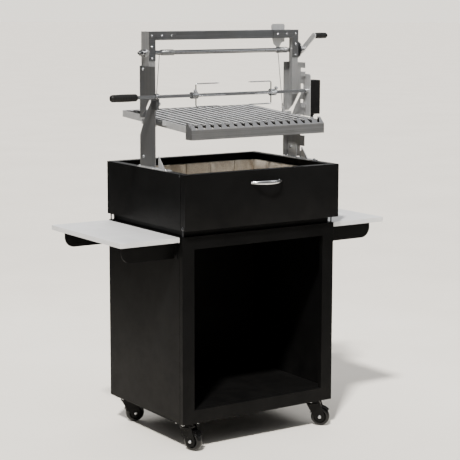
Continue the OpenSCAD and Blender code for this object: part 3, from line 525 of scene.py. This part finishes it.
def socket_screw(bm, origin, axis, r, h, washer=True):
    """Button-head screw with a hexagon socket, on a washer, its face along axis."""
    at = frame_at(origin, axis)
    base = min(1.2 * MM, h * 0.3) if washer else 0.0
    if washer:
        lathe(bm, [(0, 0), (r * 1.32, 0), (r * WASHER, base * 0.4), (r * 1.32, base), (0, base)], at, 40)
    rise = h - base
    steps, socket = 36, r * 0.46
    dome = [(r * 0.94, base), (r, base + rise * 0.18), (r * 0.97, base + rise * 0.45),
            (r * 0.84, base + rise * 0.78), (r * 0.66, h)]
    rings = lathe(bm, dome, at, steps)
    outer = rings[-1]
    edge = hex_ring(bm, socket, at, h)
    per = steps // 6
    for i in range(6):
        run = [outer[(i * per + k) % steps] for k in range(per + 1)]
        bm.faces.new([edge[i]] + run + [edge[(i + 1) % 6]])
    floor = hex_ring(bm, socket * 0.96, at, base + rise * 0.25)
    bridge(bm, edge, floor)
    bm.faces.new(floor)
    bm.faces.new(rings[0])


def hex_head(bm, origin, axis, r, h):
    """Hexagon nut or bolt head with chamfered corners and a faced top."""
    at = frame_at(origin, axis)
    low = hex_ring(bm, r, at, 0)
    mid = hex_ring(bm, r, at, h * 0.82)
    top = hex_ring(bm, r * 0.93, at, h)
    bm.faces.new(low)
    bridge(bm, low, mid)
    bridge(bm, mid, top)
    bm.faces.new(top)
    face = r * 0.88
    lathe(bm, [(0, h * 0.9), (face * 0.9, h * 0.9), (face * 0.86, h * 1.04), (0, h * 1.06)], at, 32)


# ---------------------------------------------------------------- what each CAD node wears

dress(COAT, "cart_front_frame", "cart_side_panels", "cart_back_panel", bevel=0.9, segments=3)
dress(COAT, "cart_floor", "cart_base", "cart_top", bevel=0.8)
dress(COAT_BOX, "firebox_body", "firebox_door", bevel=0.9, segments=3)
dress(COAT_SMALL, "shelf_brackets", bevel=0.7)
dress(STEEL_PALE_PAINTED_LIGHT, "shelf_left", "shelf_right", bevel=0.95, segments=3)
dress(COAT_SMALL, "firebox_plinth", bevel=0.6)
dress(PIN, "door_pins", "cart_bolts", bevel=0.4)
dress(STEEL_LIGHT, "upright_feet", bevel=0.6)
# The uprights wear shaded and lit copies of one steel: painted shade on the left plate, painted light on the
# right plate and posts.
dress(STEEL_Z_PAINTED_SHADE, "upright_plate_left", bevel=0.5)
dress(STEEL_POST_PAINTED_LIGHT, "upright_plate_right", "upright_posts", bevel=0.5)
dress(STEEL_X, "crossbar", "corner_plates", bevel=0.6)
dress(ZINC, "winch_bushes", bevel=0.5)
dress(SHAFT, "winch_shaft", "winch_nuts", bevel=0.4)
dress(STEEL_LIGHT, "crank_arm", "motor_bracket", bevel=0.4)
dress(STEEL_LIGHT, "brake_plate", "grate_guides", bevel=0.5)
# Grate bars: painted sunlight in their light steel, painted shade in their gutters and undersides.
dress(STEEL_Y_PAINTED_LIGHT_AND_SHADE, "grate_bars", bevel=0.35)
dress(STEEL_LIGHT, "grate_sides", bevel=0.35)
dress(STEEL_TROUGH, "grate_rear_rail", "grate_front_rail", bevel=0.4)
dress(STEEL_PAN, "grease_trough", bevel=0.4)
dress(STEEL_X, "spit_support", bevel=0.4)
dress(MOTOR, "motor_housing", "motor_gland", bevel=0.8, segments=3)
dress(BRIGHT, "drive_socket", "spit_rod", "spit_bush", "support_knob", bevel=0.4)
dress(BRIGHT, "fork_left", "fork_right", bevel=0.25)
dress(CASTOR, "castor_plates", *("castor_fork_" + corner for corner in CORNERS), bevel=0.7)

# ---------------------------------------------------------------- pieces that replace CAD nodes


def islands(name):
    """The boxes of a CAD node's separate solids, as (lowest corner, highest corner)."""
    bm = bmesh.new()
    bm.from_mesh(NODES[name].data)
    bmesh.ops.remove_doubles(bm, verts=bm.verts, dist=TOUCHING)
    bm.verts.index_update()
    seen, found = set(), []
    for start in bm.verts:
        if start.index in seen:
            continue
        stack, part = [start], []
        seen.add(start.index)
        while stack:
            v = stack.pop()
            part.append(v.co.copy())
            for e in v.link_edges:
                w = e.other_vert(v)
                if w.index not in seen:
                    seen.add(w.index)
                    stack.append(w)
        found.append((Vector(min(c[i] for c in part) for i in range(3)),
                      Vector(max(c[i] for c in part) for i in range(3))))
    bm.free()
    return sorted(found, key=lambda b: tuple(round(c, 4) for c in b[0]))


def joint(name):
    """A joint's position and the direction of its axis."""
    found = next(j for j in frame["joints"] if j["name"] == name)
    return Vector(found.get("pos_m", (0, 0, 0))), Vector(found["axis"]).normalized()


def bow_handle():
    """Arched pull: a flat bar, thick in the middle and tapering to its ends, on two turned posts."""
    lo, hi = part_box("door_handle")
    mid_x, mid_z = (lo.x + hi.x) / 2, (lo.z + hi.z) / 2
    half = (hi.x - lo.x) / 2 - 2 * MM
    end_gap = 3.5 * MM
    rise = hi.y - lo.y - 8 * MM
    end_r = swell = 2.2 * MM
    steps, arch, taper = 40, 2.3, 2.6
    path, radii = [], []
    for i in range(steps + 1):
        t = -1 + 2 * i / steps
        path.append((mid_x + t * half, hi.y - end_gap - rise * (1 - abs(t) ** arch), mid_z))
        radii.append(end_r + swell * (1 - abs(t) ** taper))
    bm = bmesh.new()
    tube(bm, path, radii, sides=24, flat=1.75)
    post = mm((0, 0), (5.8, 0), (5.8, 1.2), (4.2, 2), (3.8, 11.5), (0, 11.5))
    for side in (-1, 1):
        x = mid_x + side * (half - 11 * MM)
        lathe(bm, post, frame_at((x, hi.y, mid_z), -Y), 32)
    piece("door_handle_bow", bm, BRIGHT, "door", ["door_handle"])


LAY_R = 0.88 * MM          # hanging cable: radius at which its strands lie
STRAND_R = 0.56 * MM
CORE_R = 0.6 * MM
PITCH = 13 * MM
STRANDS = 6
STEPS_PER_PITCH = 9
WOUND_LAY_R = 0.82 * MM    # the same for the winding, whose turns are tighter
WOUND_STRAND_R = 0.62 * MM
WOUND_STRANDS = 5
LAYS_PER_TURN = 3.1
STEPS_PER_TURN = 36
LEAD_OUT = 2.2 * MM        # how far beside the winding a cable leaves it


def lift_cable(side, low, high):
    """Stranded cable from the winch down to the grate's lug, with a ferrule and an eye."""
    length = (high - low).length
    t = (high - low).normalized()
    u = t.cross(Y).normalized()
    w = t.cross(u)
    steps = int(length / PITCH * STEPS_PER_PITCH)
    bm = bmesh.new()
    for k in range(STRANDS):
        strand = []
        for i in range(steps + 1):
            d = length * i / steps
            a = 2 * math.pi * (d / PITCH + k / STRANDS)
            strand.append(low + t * d + u * (LAY_R * math.cos(a)) + w * (LAY_R * math.sin(a)))
        tube(bm, strand, STRAND_R, 6)
    tube(bm, [low, (low + high) / 2, high], CORE_R, 6)
    o = piece("lift_cable_" + side, bm, ROPE, None)
    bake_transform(o)
    bm = bmesh.new()
    ferrule = mm((0, 4), (2.1, 4), (2.6, 4.8), (2.6, 10.8), (2.1, 11.6), (0, 11.6))
    lathe(bm, ferrule, frame_at(low, t), 24)
    turn = [math.radians(-250 + 320 * i / 24) for i in range(25)]
    eye = [low + u * (2.8 * MM * math.cos(a)) + t * (5.2 * MM * math.sin(a) - 0.5 * MM) for a in turn]
    tube(bm, eye, 1.1 * MM, 10)
    piece("cable_eye_" + side, bm, ZINC, "grate")
    return o


def coils():
    """The boxes of the left winding's turns, and of the right one's."""
    turns = islands("cable_windings")
    return [b for b in turns if b[0].x < 0], [b for b in turns if b[0].x > 0]


def lift_cables():
    """Both hanging cables, from the ends of the windings to the middles of the grate's lugs."""
    lo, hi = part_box("lift_cables")
    y = (lo.y + hi.y) / 2
    end = hi.x - 1.4 * MM
    foot = lo.z + 1.5 * MM
    tops = [min(b[0].x for b in coil) - LEAD_OUT for coil in coils()]
    left = lift_cable("left", Vector((-end, y, foot)), Vector((tops[0], y, hi.z)))
    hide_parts("lift_cables")
    lift_cable("right", Vector((end, y, foot)), Vector((tops[1], y, hi.z)))


def windings():
    """The wound turns as helical wire rope, each leading out to the top of its hanging cable."""
    bm = bmesh.new()
    for coil in coils():
        lo, hi = coil[0]
        centre = (lo + hi) / 2
        rope = (hi.x - lo.x) / 2
        mean_r = (hi.z - lo.z) / 2 - rope
        x0, x1 = min(b[0].x for b in coil) - LEAD_OUT, max(b[1].x for b in coil) - rope
        turns = len(coil)
        steps = turns * STEPS_PER_TURN
        for k in range(WOUND_STRANDS):
            strand = []
            for i in range(steps + 1):
                a = 2 * math.pi * turns * i / steps
                lay = a * LAYS_PER_TURN + 2 * math.pi * k / WOUND_STRANDS
                x = x0 + (x1 - x0) * i / steps + WOUND_LAY_R * math.sin(lay)
                r = mean_r + WOUND_LAY_R * math.cos(lay)
                strand.append((x, centre.y + r * math.cos(a), centre.z + r * math.sin(a)))
            tube(bm, strand, WOUND_STRAND_R, 5)
    piece("cable_windings_rope", bm, ROPE, "winch", ["cable_windings"])


def frame_screws():
    """Screws in place of the frame's bolts: plain on the front, with washers on the rim feet, and with
    washers and inner nuts on the sides."""
    head = 4 * MM
    nut_r = 6.2 * MM
    plain = 1.12   # a plain bolt's radius in the CAD over its screw's here
    thin = 0.8     # a head is thin along an axis where it has less than this share of its width
    bm = bmesh.new()
    for lo, hi in islands("frame_bolts"):
        size, mid = hi - lo, (lo + hi) / 2
        if size.y < min(size.x, size.z) * thin:
            socket_screw(bm, (mid.x, hi.y, mid.z), -Y, size.x / 2 / plain, size.y, washer=False)
        elif size.z < min(size.x, size.y) * thin:
            socket_screw(bm, (mid.x, mid.y, lo.z), Z, size.x / 2 / WASHER, size.z)
        else:
            side = 1 if mid.x > 0 else -1
            outer, inner = (hi.x, lo.x) if side > 0 else (lo.x, hi.x)
            socket_screw(bm, (outer - side * head, mid.y, mid.z), X * side, size.y / 2 / WASHER, head)
            hex_head(bm, (inner + side * head, mid.y, mid.z), X * -side, nut_r, head)
    piece("frame_screws", bm, ZINC, "cart", ["frame_bolts"])


def grip(name, node, body, outward, ribs):
    """A turned grip with shallow finger rings and an end cap, along X; outward is 1 or -1."""
    lo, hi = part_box(node)
    r = (hi.y - lo.y) / 2
    length = hi.x - lo.x
    inner = lo.x if outward > 0 else hi.x
    at = frame_at((inner, (lo.y + hi.y) / 2, (lo.z + hi.z) / 2), X * outward)
    collar, cap = 5 * MM, 7 * MM
    steps, ring_depth = 60, 0.035
    shape = [(0, 0), (r * 0.70, 0), (r * 0.80, 1.2 * MM), (r * 0.84, 4 * MM)]
    for i in range(steps + 1):
        t = i / steps
        swell = 0.90 + 0.10 * math.sin(math.pi * (0.12 + 0.80 * t))
        wave = 0.5 - 0.5 * math.cos(2 * math.pi * ribs * t)
        ring = ring_depth * wave if 0.08 < t < 0.92 else 0.0
        shape.append((r * (swell - ring), collar + (length - collar - cap) * t))
    shape += [(r * 0.86, length - 4.5 * MM), (r * 0.72, length - 1.5 * MM), (r * 0.50, length),
              (r * 0.30, length), (r * 0.28, length - 1 * MM), (0, length - 1 * MM)]
    bm = bmesh.new()
    lathe(bm, shape, at, 64)
    piece(name, bm, GRIP, body, [node])


def knurled_screw(name, node, body, joint_name):
    """Thumbscrew with a knurled head, along its joint's axis."""
    at = frame_at(*joint(joint_name))
    bm = bmesh.new()
    lathe(bm, mm((0, 8.8), (2.9, 8.8), (2.9, 20.5), (0, 20.5)), at, 24)
    teeth, tooth = 28, 0.4 * MM
    head = []
    for r, h in mm((5.6, 20.8), (6.6, 21.6), (6.6, 25.8), (5.8, 27)):
        ring = []
        for i in range(2 * teeth):
            a = math.pi * i / teeth
            tip = r + tooth * (i % 2)
            ring.append(bm.verts.new(at @ Vector((tip * math.cos(a), tip * math.sin(a), h))))
        head.append(ring)
    for low, high in zip(head, head[1:]):
        bridge(bm, low, high)
    bm.faces.new(head[0])
    bm.faces.new(head[-1])
    piece(name, bm, BRIGHT, body, [node], smooth=False)


def castor_wheel(corner):
    """Hard wheel with a rounded tread, dished sides, radial webs and a bearing boss."""
    node = "castor_wheel_" + corner
    lo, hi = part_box(node)
    r = (hi.z - lo.z) / 2
    centre, axis = joint("roll_" + corner)
    at = frame_at(centre, axis, side=Z)
    side = mm((4.1, 11.8), (8.8, 12.2), (9.8, 11.2), (10.6, 7.2), (20.5, 6.4), (22.8, 7.8), (24.2, 11.8),
              (25.8, 13), (30, 12.8), (33.5, 11.2), (36, 7.8))
    side.append((r - 0.3 * MM, 3.8 * MM))
    bm = bmesh.new()
    lathe(bm, side + [(r, 0.0)] + [(a, -b) for a, b in reversed(side)], at, 72, closed=True)
    web_lo = Vector((9.5, -1.2, 5.0)) * MM
    web_hi = Vector((23.5, 1.2, 9.8)) * MM
    for face in (1, -1):
        for k in range(6):
            spin = at @ Matrix.Rotation(math.radians(60 * k + 30), 4, "Z")
            for v in block(bm, web_lo, web_hi):
                v.co = spin @ Vector((v.co.x, v.co.y, v.co.z * face))
    piece("castor_wheel_detail_" + corner, bm, TREAD, "wheel_" + corner, [node])


def castor_hood(corner):
    """Pressed hood over the wheel between the fork's cheeks, and the swivel's bearing ring."""
    centre, axis = joint("roll_" + corner)
    swivel, _ = joint("swivel_" + corner)
    back = Vector((centre.x - swivel.x, centre.y - swivel.y, 0)).normalized()
    half, inner_r, outer_r = 14.9 * MM, 39.8 * MM, 42 * MM
    start, sweep, steps = 38, 124, 22
    bm = bmesh.new()
    rows = []
    for i in range(steps + 1):
        a = math.radians(start + sweep * i / steps)
        out = back * math.cos(a) + Z * math.sin(a)
        rows.append([bm.verts.new(centre + out * r + axis * w) for r, w in (
            (inner_r, -half), (inner_r, half), (outer_r, half), (outer_r, -half))])
    for low, high in zip(rows, rows[1:]):
        bridge(bm, low, high)
    bm.faces.new(rows[0])
    bm.faces.new(rows[-1])
    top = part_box("castor_fork_" + corner)[1].z
    bearing = mm((27, 0), (28.4, 1.8), (28.4, 5), (27.2, 7.2), (26.2, 9.8), (25, 9.8), (25, 0))
    lathe(bm, bearing, Matrix.Translation((swivel.x, swivel.y, top - 10.2 * MM)), 56, closed=True)
    piece("castor_hood_" + corner, bm, CASTOR, "castor_" + corner)


def axle_caps(corner):
    """Plated domed caps on both ends of a castor's axle."""
    centre, axis = joint("roll_" + corner)
    cap = mm((0, 18.1), (6.9, 18.1), (6.9, 21.2), (5.8, 23.2), (3.4, 24.5), (0, 24.9))
    bm = bmesh.new()
    for face in (axis, -axis):
        lathe(bm, cap, frame_at(centre, face, side=Z), 28)
    piece("castor_axle_caps_" + corner, bm, ZINC, "castor_" + corner)


def plate_bolts():
    """Plated button heads over the bolts under the castors' plates."""
    skin = 0.2 * MM
    head = 4.9 * MM
    widest_bolt = 20 * MM
    bm = bmesh.new()
    for lo, hi in islands("castor_plates"):
        if hi.x - lo.x < widest_bolt:
            r = (hi.x - lo.x) / 2 + skin
            at = Matrix.Translation(((lo.x + hi.x) / 2, (lo.y + hi.y) / 2, lo.z - skin))
            lathe(bm, [(0, 0), (r * 0.7, 0), (r, 1 * MM), (r, head), (0, head)], at, 24)
    piece("castor_plate_bolts", bm, ZINC, "cart")


def bricks(name, node, seed):
    """Firebricks one by one: worn arrises, chipped corners and slightly uneven faces."""
    rng = random.Random(seed)
    joint_gap = Vector((0.4, 0.4, 0.2)) * MM
    arris, chip_corner, chip_face, uneven = 1.8 * MM, 2.6 * MM, 0.7 * MM, 0.25 * MM
    chip_scale, uneven_scale = 34, 160
    rim = 0.93   # share of a brick's half width beyond which a point is near an edge
    bm = bmesh.new()
    for lo, hi in islands(node):
        shift = Vector(rng.uniform(-50, 50) for _ in range(3))
        one = bmesh.new()
        block(one, lo + joint_gap, hi - joint_gap)
        bmesh.ops.bevel(one, geom=one.edges[:], offset=arris, segments=2, affect="EDGES", profile=0.5)
        long_edges = [e for e in one.edges if e.calc_length() > 20 * MM]
        bmesh.ops.subdivide_edges(one, edges=long_edges, cuts=7, use_grid_fill=True)
        centre, half = (lo + hi) / 2, (hi - lo) / 2
        for v in one.verts:
            near = sum(1 for i in range(3) if abs(v.co[i] - centre[i]) / half[i] > rim)
            depth = chip_corner if near >= 2 else chip_face
            chip = max(0.0, noise.noise(v.co * chip_scale + shift)) * depth
            dip = noise.noise(v.co * uneven_scale + shift) * uneven
            v.co += (centre - v.co).normalized() * (chip + abs(dip))
        mesh = bpy.data.meshes.new("brick")
        one.to_mesh(mesh)
        one.free()
        bm.from_mesh(mesh)
        bpy.data.meshes.remove(mesh)
    piece(name, bm, BRICK, "cart", [node])


def bead(bm, a, b, radius, seed):
    """A weld bead between two points, with the ripple of its pools."""
    rng = random.Random(seed)
    a, b = Vector(a), Vector(b)
    count = max(6, int((b - a).length / (1.1 * MM)))
    points, radii = [], []
    for i in range(count + 1):
        wander = Vector(rng.uniform(-1, 1) for _ in range(3)) * radius * 0.06
        points.append(a.lerp(b, i / count) + wander)
        end = 0.55 if i in (0, count) else 1
        radii.append(radius * (0.86 + 0.16 * math.sin(i * 1.9) + rng.uniform(-0.05, 0.05)) * end)
    tube(bm, points, radii, 10)


def welds():
    """Weld beads where the rim feet meet their gussets, and where the trough meets its end plates."""
    gusset_in, gusset_t, foot_t = 6 * MM, 4 * MM, 4 * MM
    weld_from, weld_to = 43 * MM, 81 * MM
    bm = bmesh.new()
    for index, (lo, hi) in enumerate(islands("upright_feet")):
        side = 1 if lo.x > 0 else -1
        inner = min(abs(lo.x), abs(hi.x)) + gusset_in
        z = lo.z + foot_t
        for k in range(2):
            x = side * (inner + gusset_t * k)
            bead(bm, (x, lo.y + weld_from, z), (x, lo.y + weld_to, z), 1.4 * MM, 10 * index + k)
    piece("foot_welds", bm, STEEL_X, "cart")
    lo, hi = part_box("grease_trough")
    y, z = lo.y + 2.4 * MM, lo.z + 2.4 * MM
    bm = bmesh.new()
    for k, side in enumerate((-1, 1)):
        x = side * (hi.x - 2.4 * MM)
        bead(bm, (x, y, z), (x, y, lo.z + 34 * MM), 1.1 * MM, 40 + k)
        bead(bm, (x, lo.y + 3 * MM, z), (x, lo.y + 40 * MM, z), 1.1 * MM, 50 + k)
    piece("trough_welds", bm, STEEL_TROUGH, "grate")


def motor_details():
    """Case screws and cooling ribs on the motor's outer face, and a raised band at its parting line."""
    lo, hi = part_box("motor_housing")
    bm = bmesh.new()
    for y in (lo.y + 7.5 * MM, hi.y - 7.5 * MM):
        for z in (lo.z + 8.5 * MM, hi.z - 8.5 * MM):
            socket_screw(bm, (hi.x, y, z), X, 2.6 * MM, 1.8 * MM, washer=False)
    piece("motor_screws", bm, ZINC, "motor")
    bm = bmesh.new()
    first = (lo.z + hi.z) / 2 - 36 * MM
    ribs, spacing = 7, 6 * MM
    for k in range(ribs):
        z = first + spacing * k
        block(bm, (hi.x - 0.6 * MM, lo.y + 12 * MM, z), (hi.x + 1.1 * MM, hi.y - 12 * MM, z + 2.6 * MM))
    block(bm, (lo.x + 14.5 * MM, lo.y - 0.5 * MM, lo.z + 8 * MM),
          (lo.x + 16.5 * MM, hi.y + 0.5 * MM, hi.z - 8 * MM))
    piece("motor_ribs", bm, MOTOR, "motor", soft_edge=0.3)


bow_handle()
lift_cables()
windings()
frame_screws()
grip("spit_grip", "spit_handle", "spit", outward=-1, ribs=9)
grip("crank_grip_turned", "crank_grip", "grip", outward=1, ribs=5)
knurled_screw("left_fork_thumbscrew", "fork_left_screw", "left_fork_screw", "left_screw_turn")
knurled_screw("right_fork_thumbscrew", "fork_right_screw", "right_fork_screw", "right_screw_turn")
for place in CORNERS:
    castor_wheel(place)
    castor_hood(place)
    axle_caps(place)
plate_bolts()
bricks("firebrick_wall_bricks", "firebrick_walls", seed=7)
bricks("firebrick_floor_bricks", "firebrick_floor", seed=11)
welds()
motor_details()

# ---------------------------------------------------------------- stage, light and camera

FLOOR_R = 900          # radii and heights of the stage in metres
WALL_R = 2.8
WALL_TOP = 1.75
BACKDROP_R = 90
BACKDROP_TOP = 60
BACKDROP_GLOW = 2.0
BACKDROP_LOW = (0.90, 0.855, 0.765)
BACKDROP_HIGH = (0.92, 0.875, 0.785)
CAMERA_PLACE = (-3.207, -4.8128, 1.6881)
CAMERA_REACH = 2000     # far enough for the floor's edge
CAMERA_TURN = -33.88    # degrees about Z, from looking along +Y
CAMERA_DROP = 8.896     # degrees that it looks down
CAMERA_ROLL = 0.118     # degrees about its own line of sight
CAMERA_LENS = 117.66    # millimetres, for a 36 mm sensor


def stage_floor():
    """A floor that reaches the horizon."""
    bm = bmesh.new()
    lathe(bm, [(r, 0) for r in (0, 3, 12, 60, FLOOR_R)], Matrix.Identity(4), 96)
    o = piece("stage_floor", bm, FLOOR, None, smooth=False)


def soft_light(name, place, aim, size, power, tint=(1, 1, 1)):
    """A rectangular light card that the camera doesn't see."""
    data = bpy.data.lights.new(name, "AREA")
    data.shape = "RECTANGLE"
    data.size, data.size_y = size
    data.energy = power
    data.color = tint
    o = put(name, data)
    o.location = place
    o.rotation_euler = (Vector(aim) - Vector(place)).to_track_quat("-Z", "Y").to_euler()
    o.visible_camera = False


def soft_sun(name, toward, strength, spread, tint):
    """A sun whose light travels toward a direction; spread is its angle in degrees."""
    data = bpy.data.lights.new(name, "SUN")
    data.energy = strength
    data.angle = math.radians(spread)
    data.color = tint
    o = put(name, data)
    o.rotation_euler = Vector(toward).to_track_quat("-Z", "Y").to_euler()


def studio():
    """Pale studio: a soft sun from the upper left front, light cards, and a sky that brightens upwards."""
    world = bpy.data.worlds.new("studio")
    bpy.context.scene.world = world
    world.use_nodes = True
    tree = world.node_tree
    back = tree.nodes["Background"]
    back.inputs["Strength"].default_value = 1.0
    place = tree.nodes.new("ShaderNodeTexCoord")
    split = tree.nodes.new("ShaderNodeSeparateXYZ")
    shade = tree.nodes.new("ShaderNodeValToRGB")
    tree.links.new(place.outputs["Generated"], split.inputs[0])
    tree.links.new(split.outputs["Z"], shade.inputs["Fac"])
    tree.links.new(shade.outputs["Color"], back.inputs["Color"])
    greys = [(0.0, 0.05), (0.25, 0.06), (0.50, 0.20), (0.80, 0.80), (1.0, 1.0)]
    set_stops(shade.color_ramp, [(at, (grey, grey, grey * 1.03)) for at, grey in greys])
    soft_sun("key", toward=(0.62, 0.58, -1.05), strength=6.5, spread=5, tint=(1.0, 0.98, 0.95))
    soft_light("fill", (2.0, -1.7, 2.5), aim=(0, 0, 1.1), size=(1.4, 1.0), power=12, tint=(0.94, 0.97, 1.0))
    soft_light("back_card", (1.4, 2.15, 2.25), aim=(0, 0, 1.35), size=(3.0, 0.9), power=16)
    soft_light("grate_card", (-0.45, 2.2, 2.65), aim=(0, 0, 1.2), size=(1.5, 1.3), power=15)


def glowing_ring(name, shader, radius, top, seen_by):
    """A glowing ring round the stage that only one kind of ray sees: "camera" or "glossy"."""
    bm = bmesh.new()
    lathe(bm, [(radius, 0.0), (radius, top)], Matrix.Identity(4), 72)
    mesh = bpy.data.meshes.new(name)
    bm.to_mesh(mesh)
    bm.free()
    mesh.materials.append(shader.mat)
    o = put(name, mesh)
    o.visible_camera = seen_by == "camera"
    o.visible_glossy = seen_by == "glossy"
    o.visible_diffuse = o.visible_shadow = False
    o.visible_transmission = o.visible_volume_scatter = False


def glow(name, strength):
    """A material that only shines."""
    s = Shader(name)
    s.set(metal=0.0, spec=0.0, rough=1.0)
    s.bsdf.inputs["Base Color"].default_value = (0, 0, 0, 1)
    s.bsdf.inputs["Emission Strength"].default_value = strength
    return s


def studio_wall():
    """Dim wall round the stage that only reflections see, lighter towards the front right."""
    s = glow("studio_wall", 1.0)
    across = s.math("ADD", s.math("MULTIPLY", s.axis("X"), 0.55), s.math("MULTIPLY", s.axis("Y"), -0.82))
    shade = s.ramp(s.span(across, 0.0, 1.0, -WALL_R, WALL_R), [(0.0, 0.06), (0.45, 0.09), (1.0, 0.26)])
    s.link(shade, s.bsdf, "Emission Color")
    glowing_ring("studio_wall", s, WALL_R, WALL_TOP, "glossy")


def backdrop():
    """Pale backdrop that only the camera sees, in the floor's own tone."""
    s = glow("backdrop", BACKDROP_GLOW)
    shade = s.ramp(s.noise(0.03, 2, 0.5), [(0.3, BACKDROP_LOW), (0.7, BACKDROP_HIGH)])
    s.link(shade, s.bsdf, "Emission Color")
    glowing_ring("backdrop", s, BACKDROP_R, BACKDROP_TOP, "camera")


def camera():
    """The camera that fits the photograph."""
    data = bpy.data.cameras.new("camera")
    data.sensor_width = 36
    data.lens = CAMERA_LENS
    data.clip_end = CAMERA_REACH
    o = put("camera", data)
    o.location = CAMERA_PLACE
    turn = Matrix.Rotation(math.radians(CAMERA_TURN), 3, "Z")
    tilt = Matrix.Rotation(math.radians(90 - CAMERA_DROP), 3, "X")
    roll = Matrix.Rotation(math.radians(CAMERA_ROLL), 3, "Z")
    o.rotation_euler = (turn @ tilt @ roll).to_euler()
    bpy.context.scene.camera = o


stage_floor()
studio()
studio_wall()
backdrop()
camera()
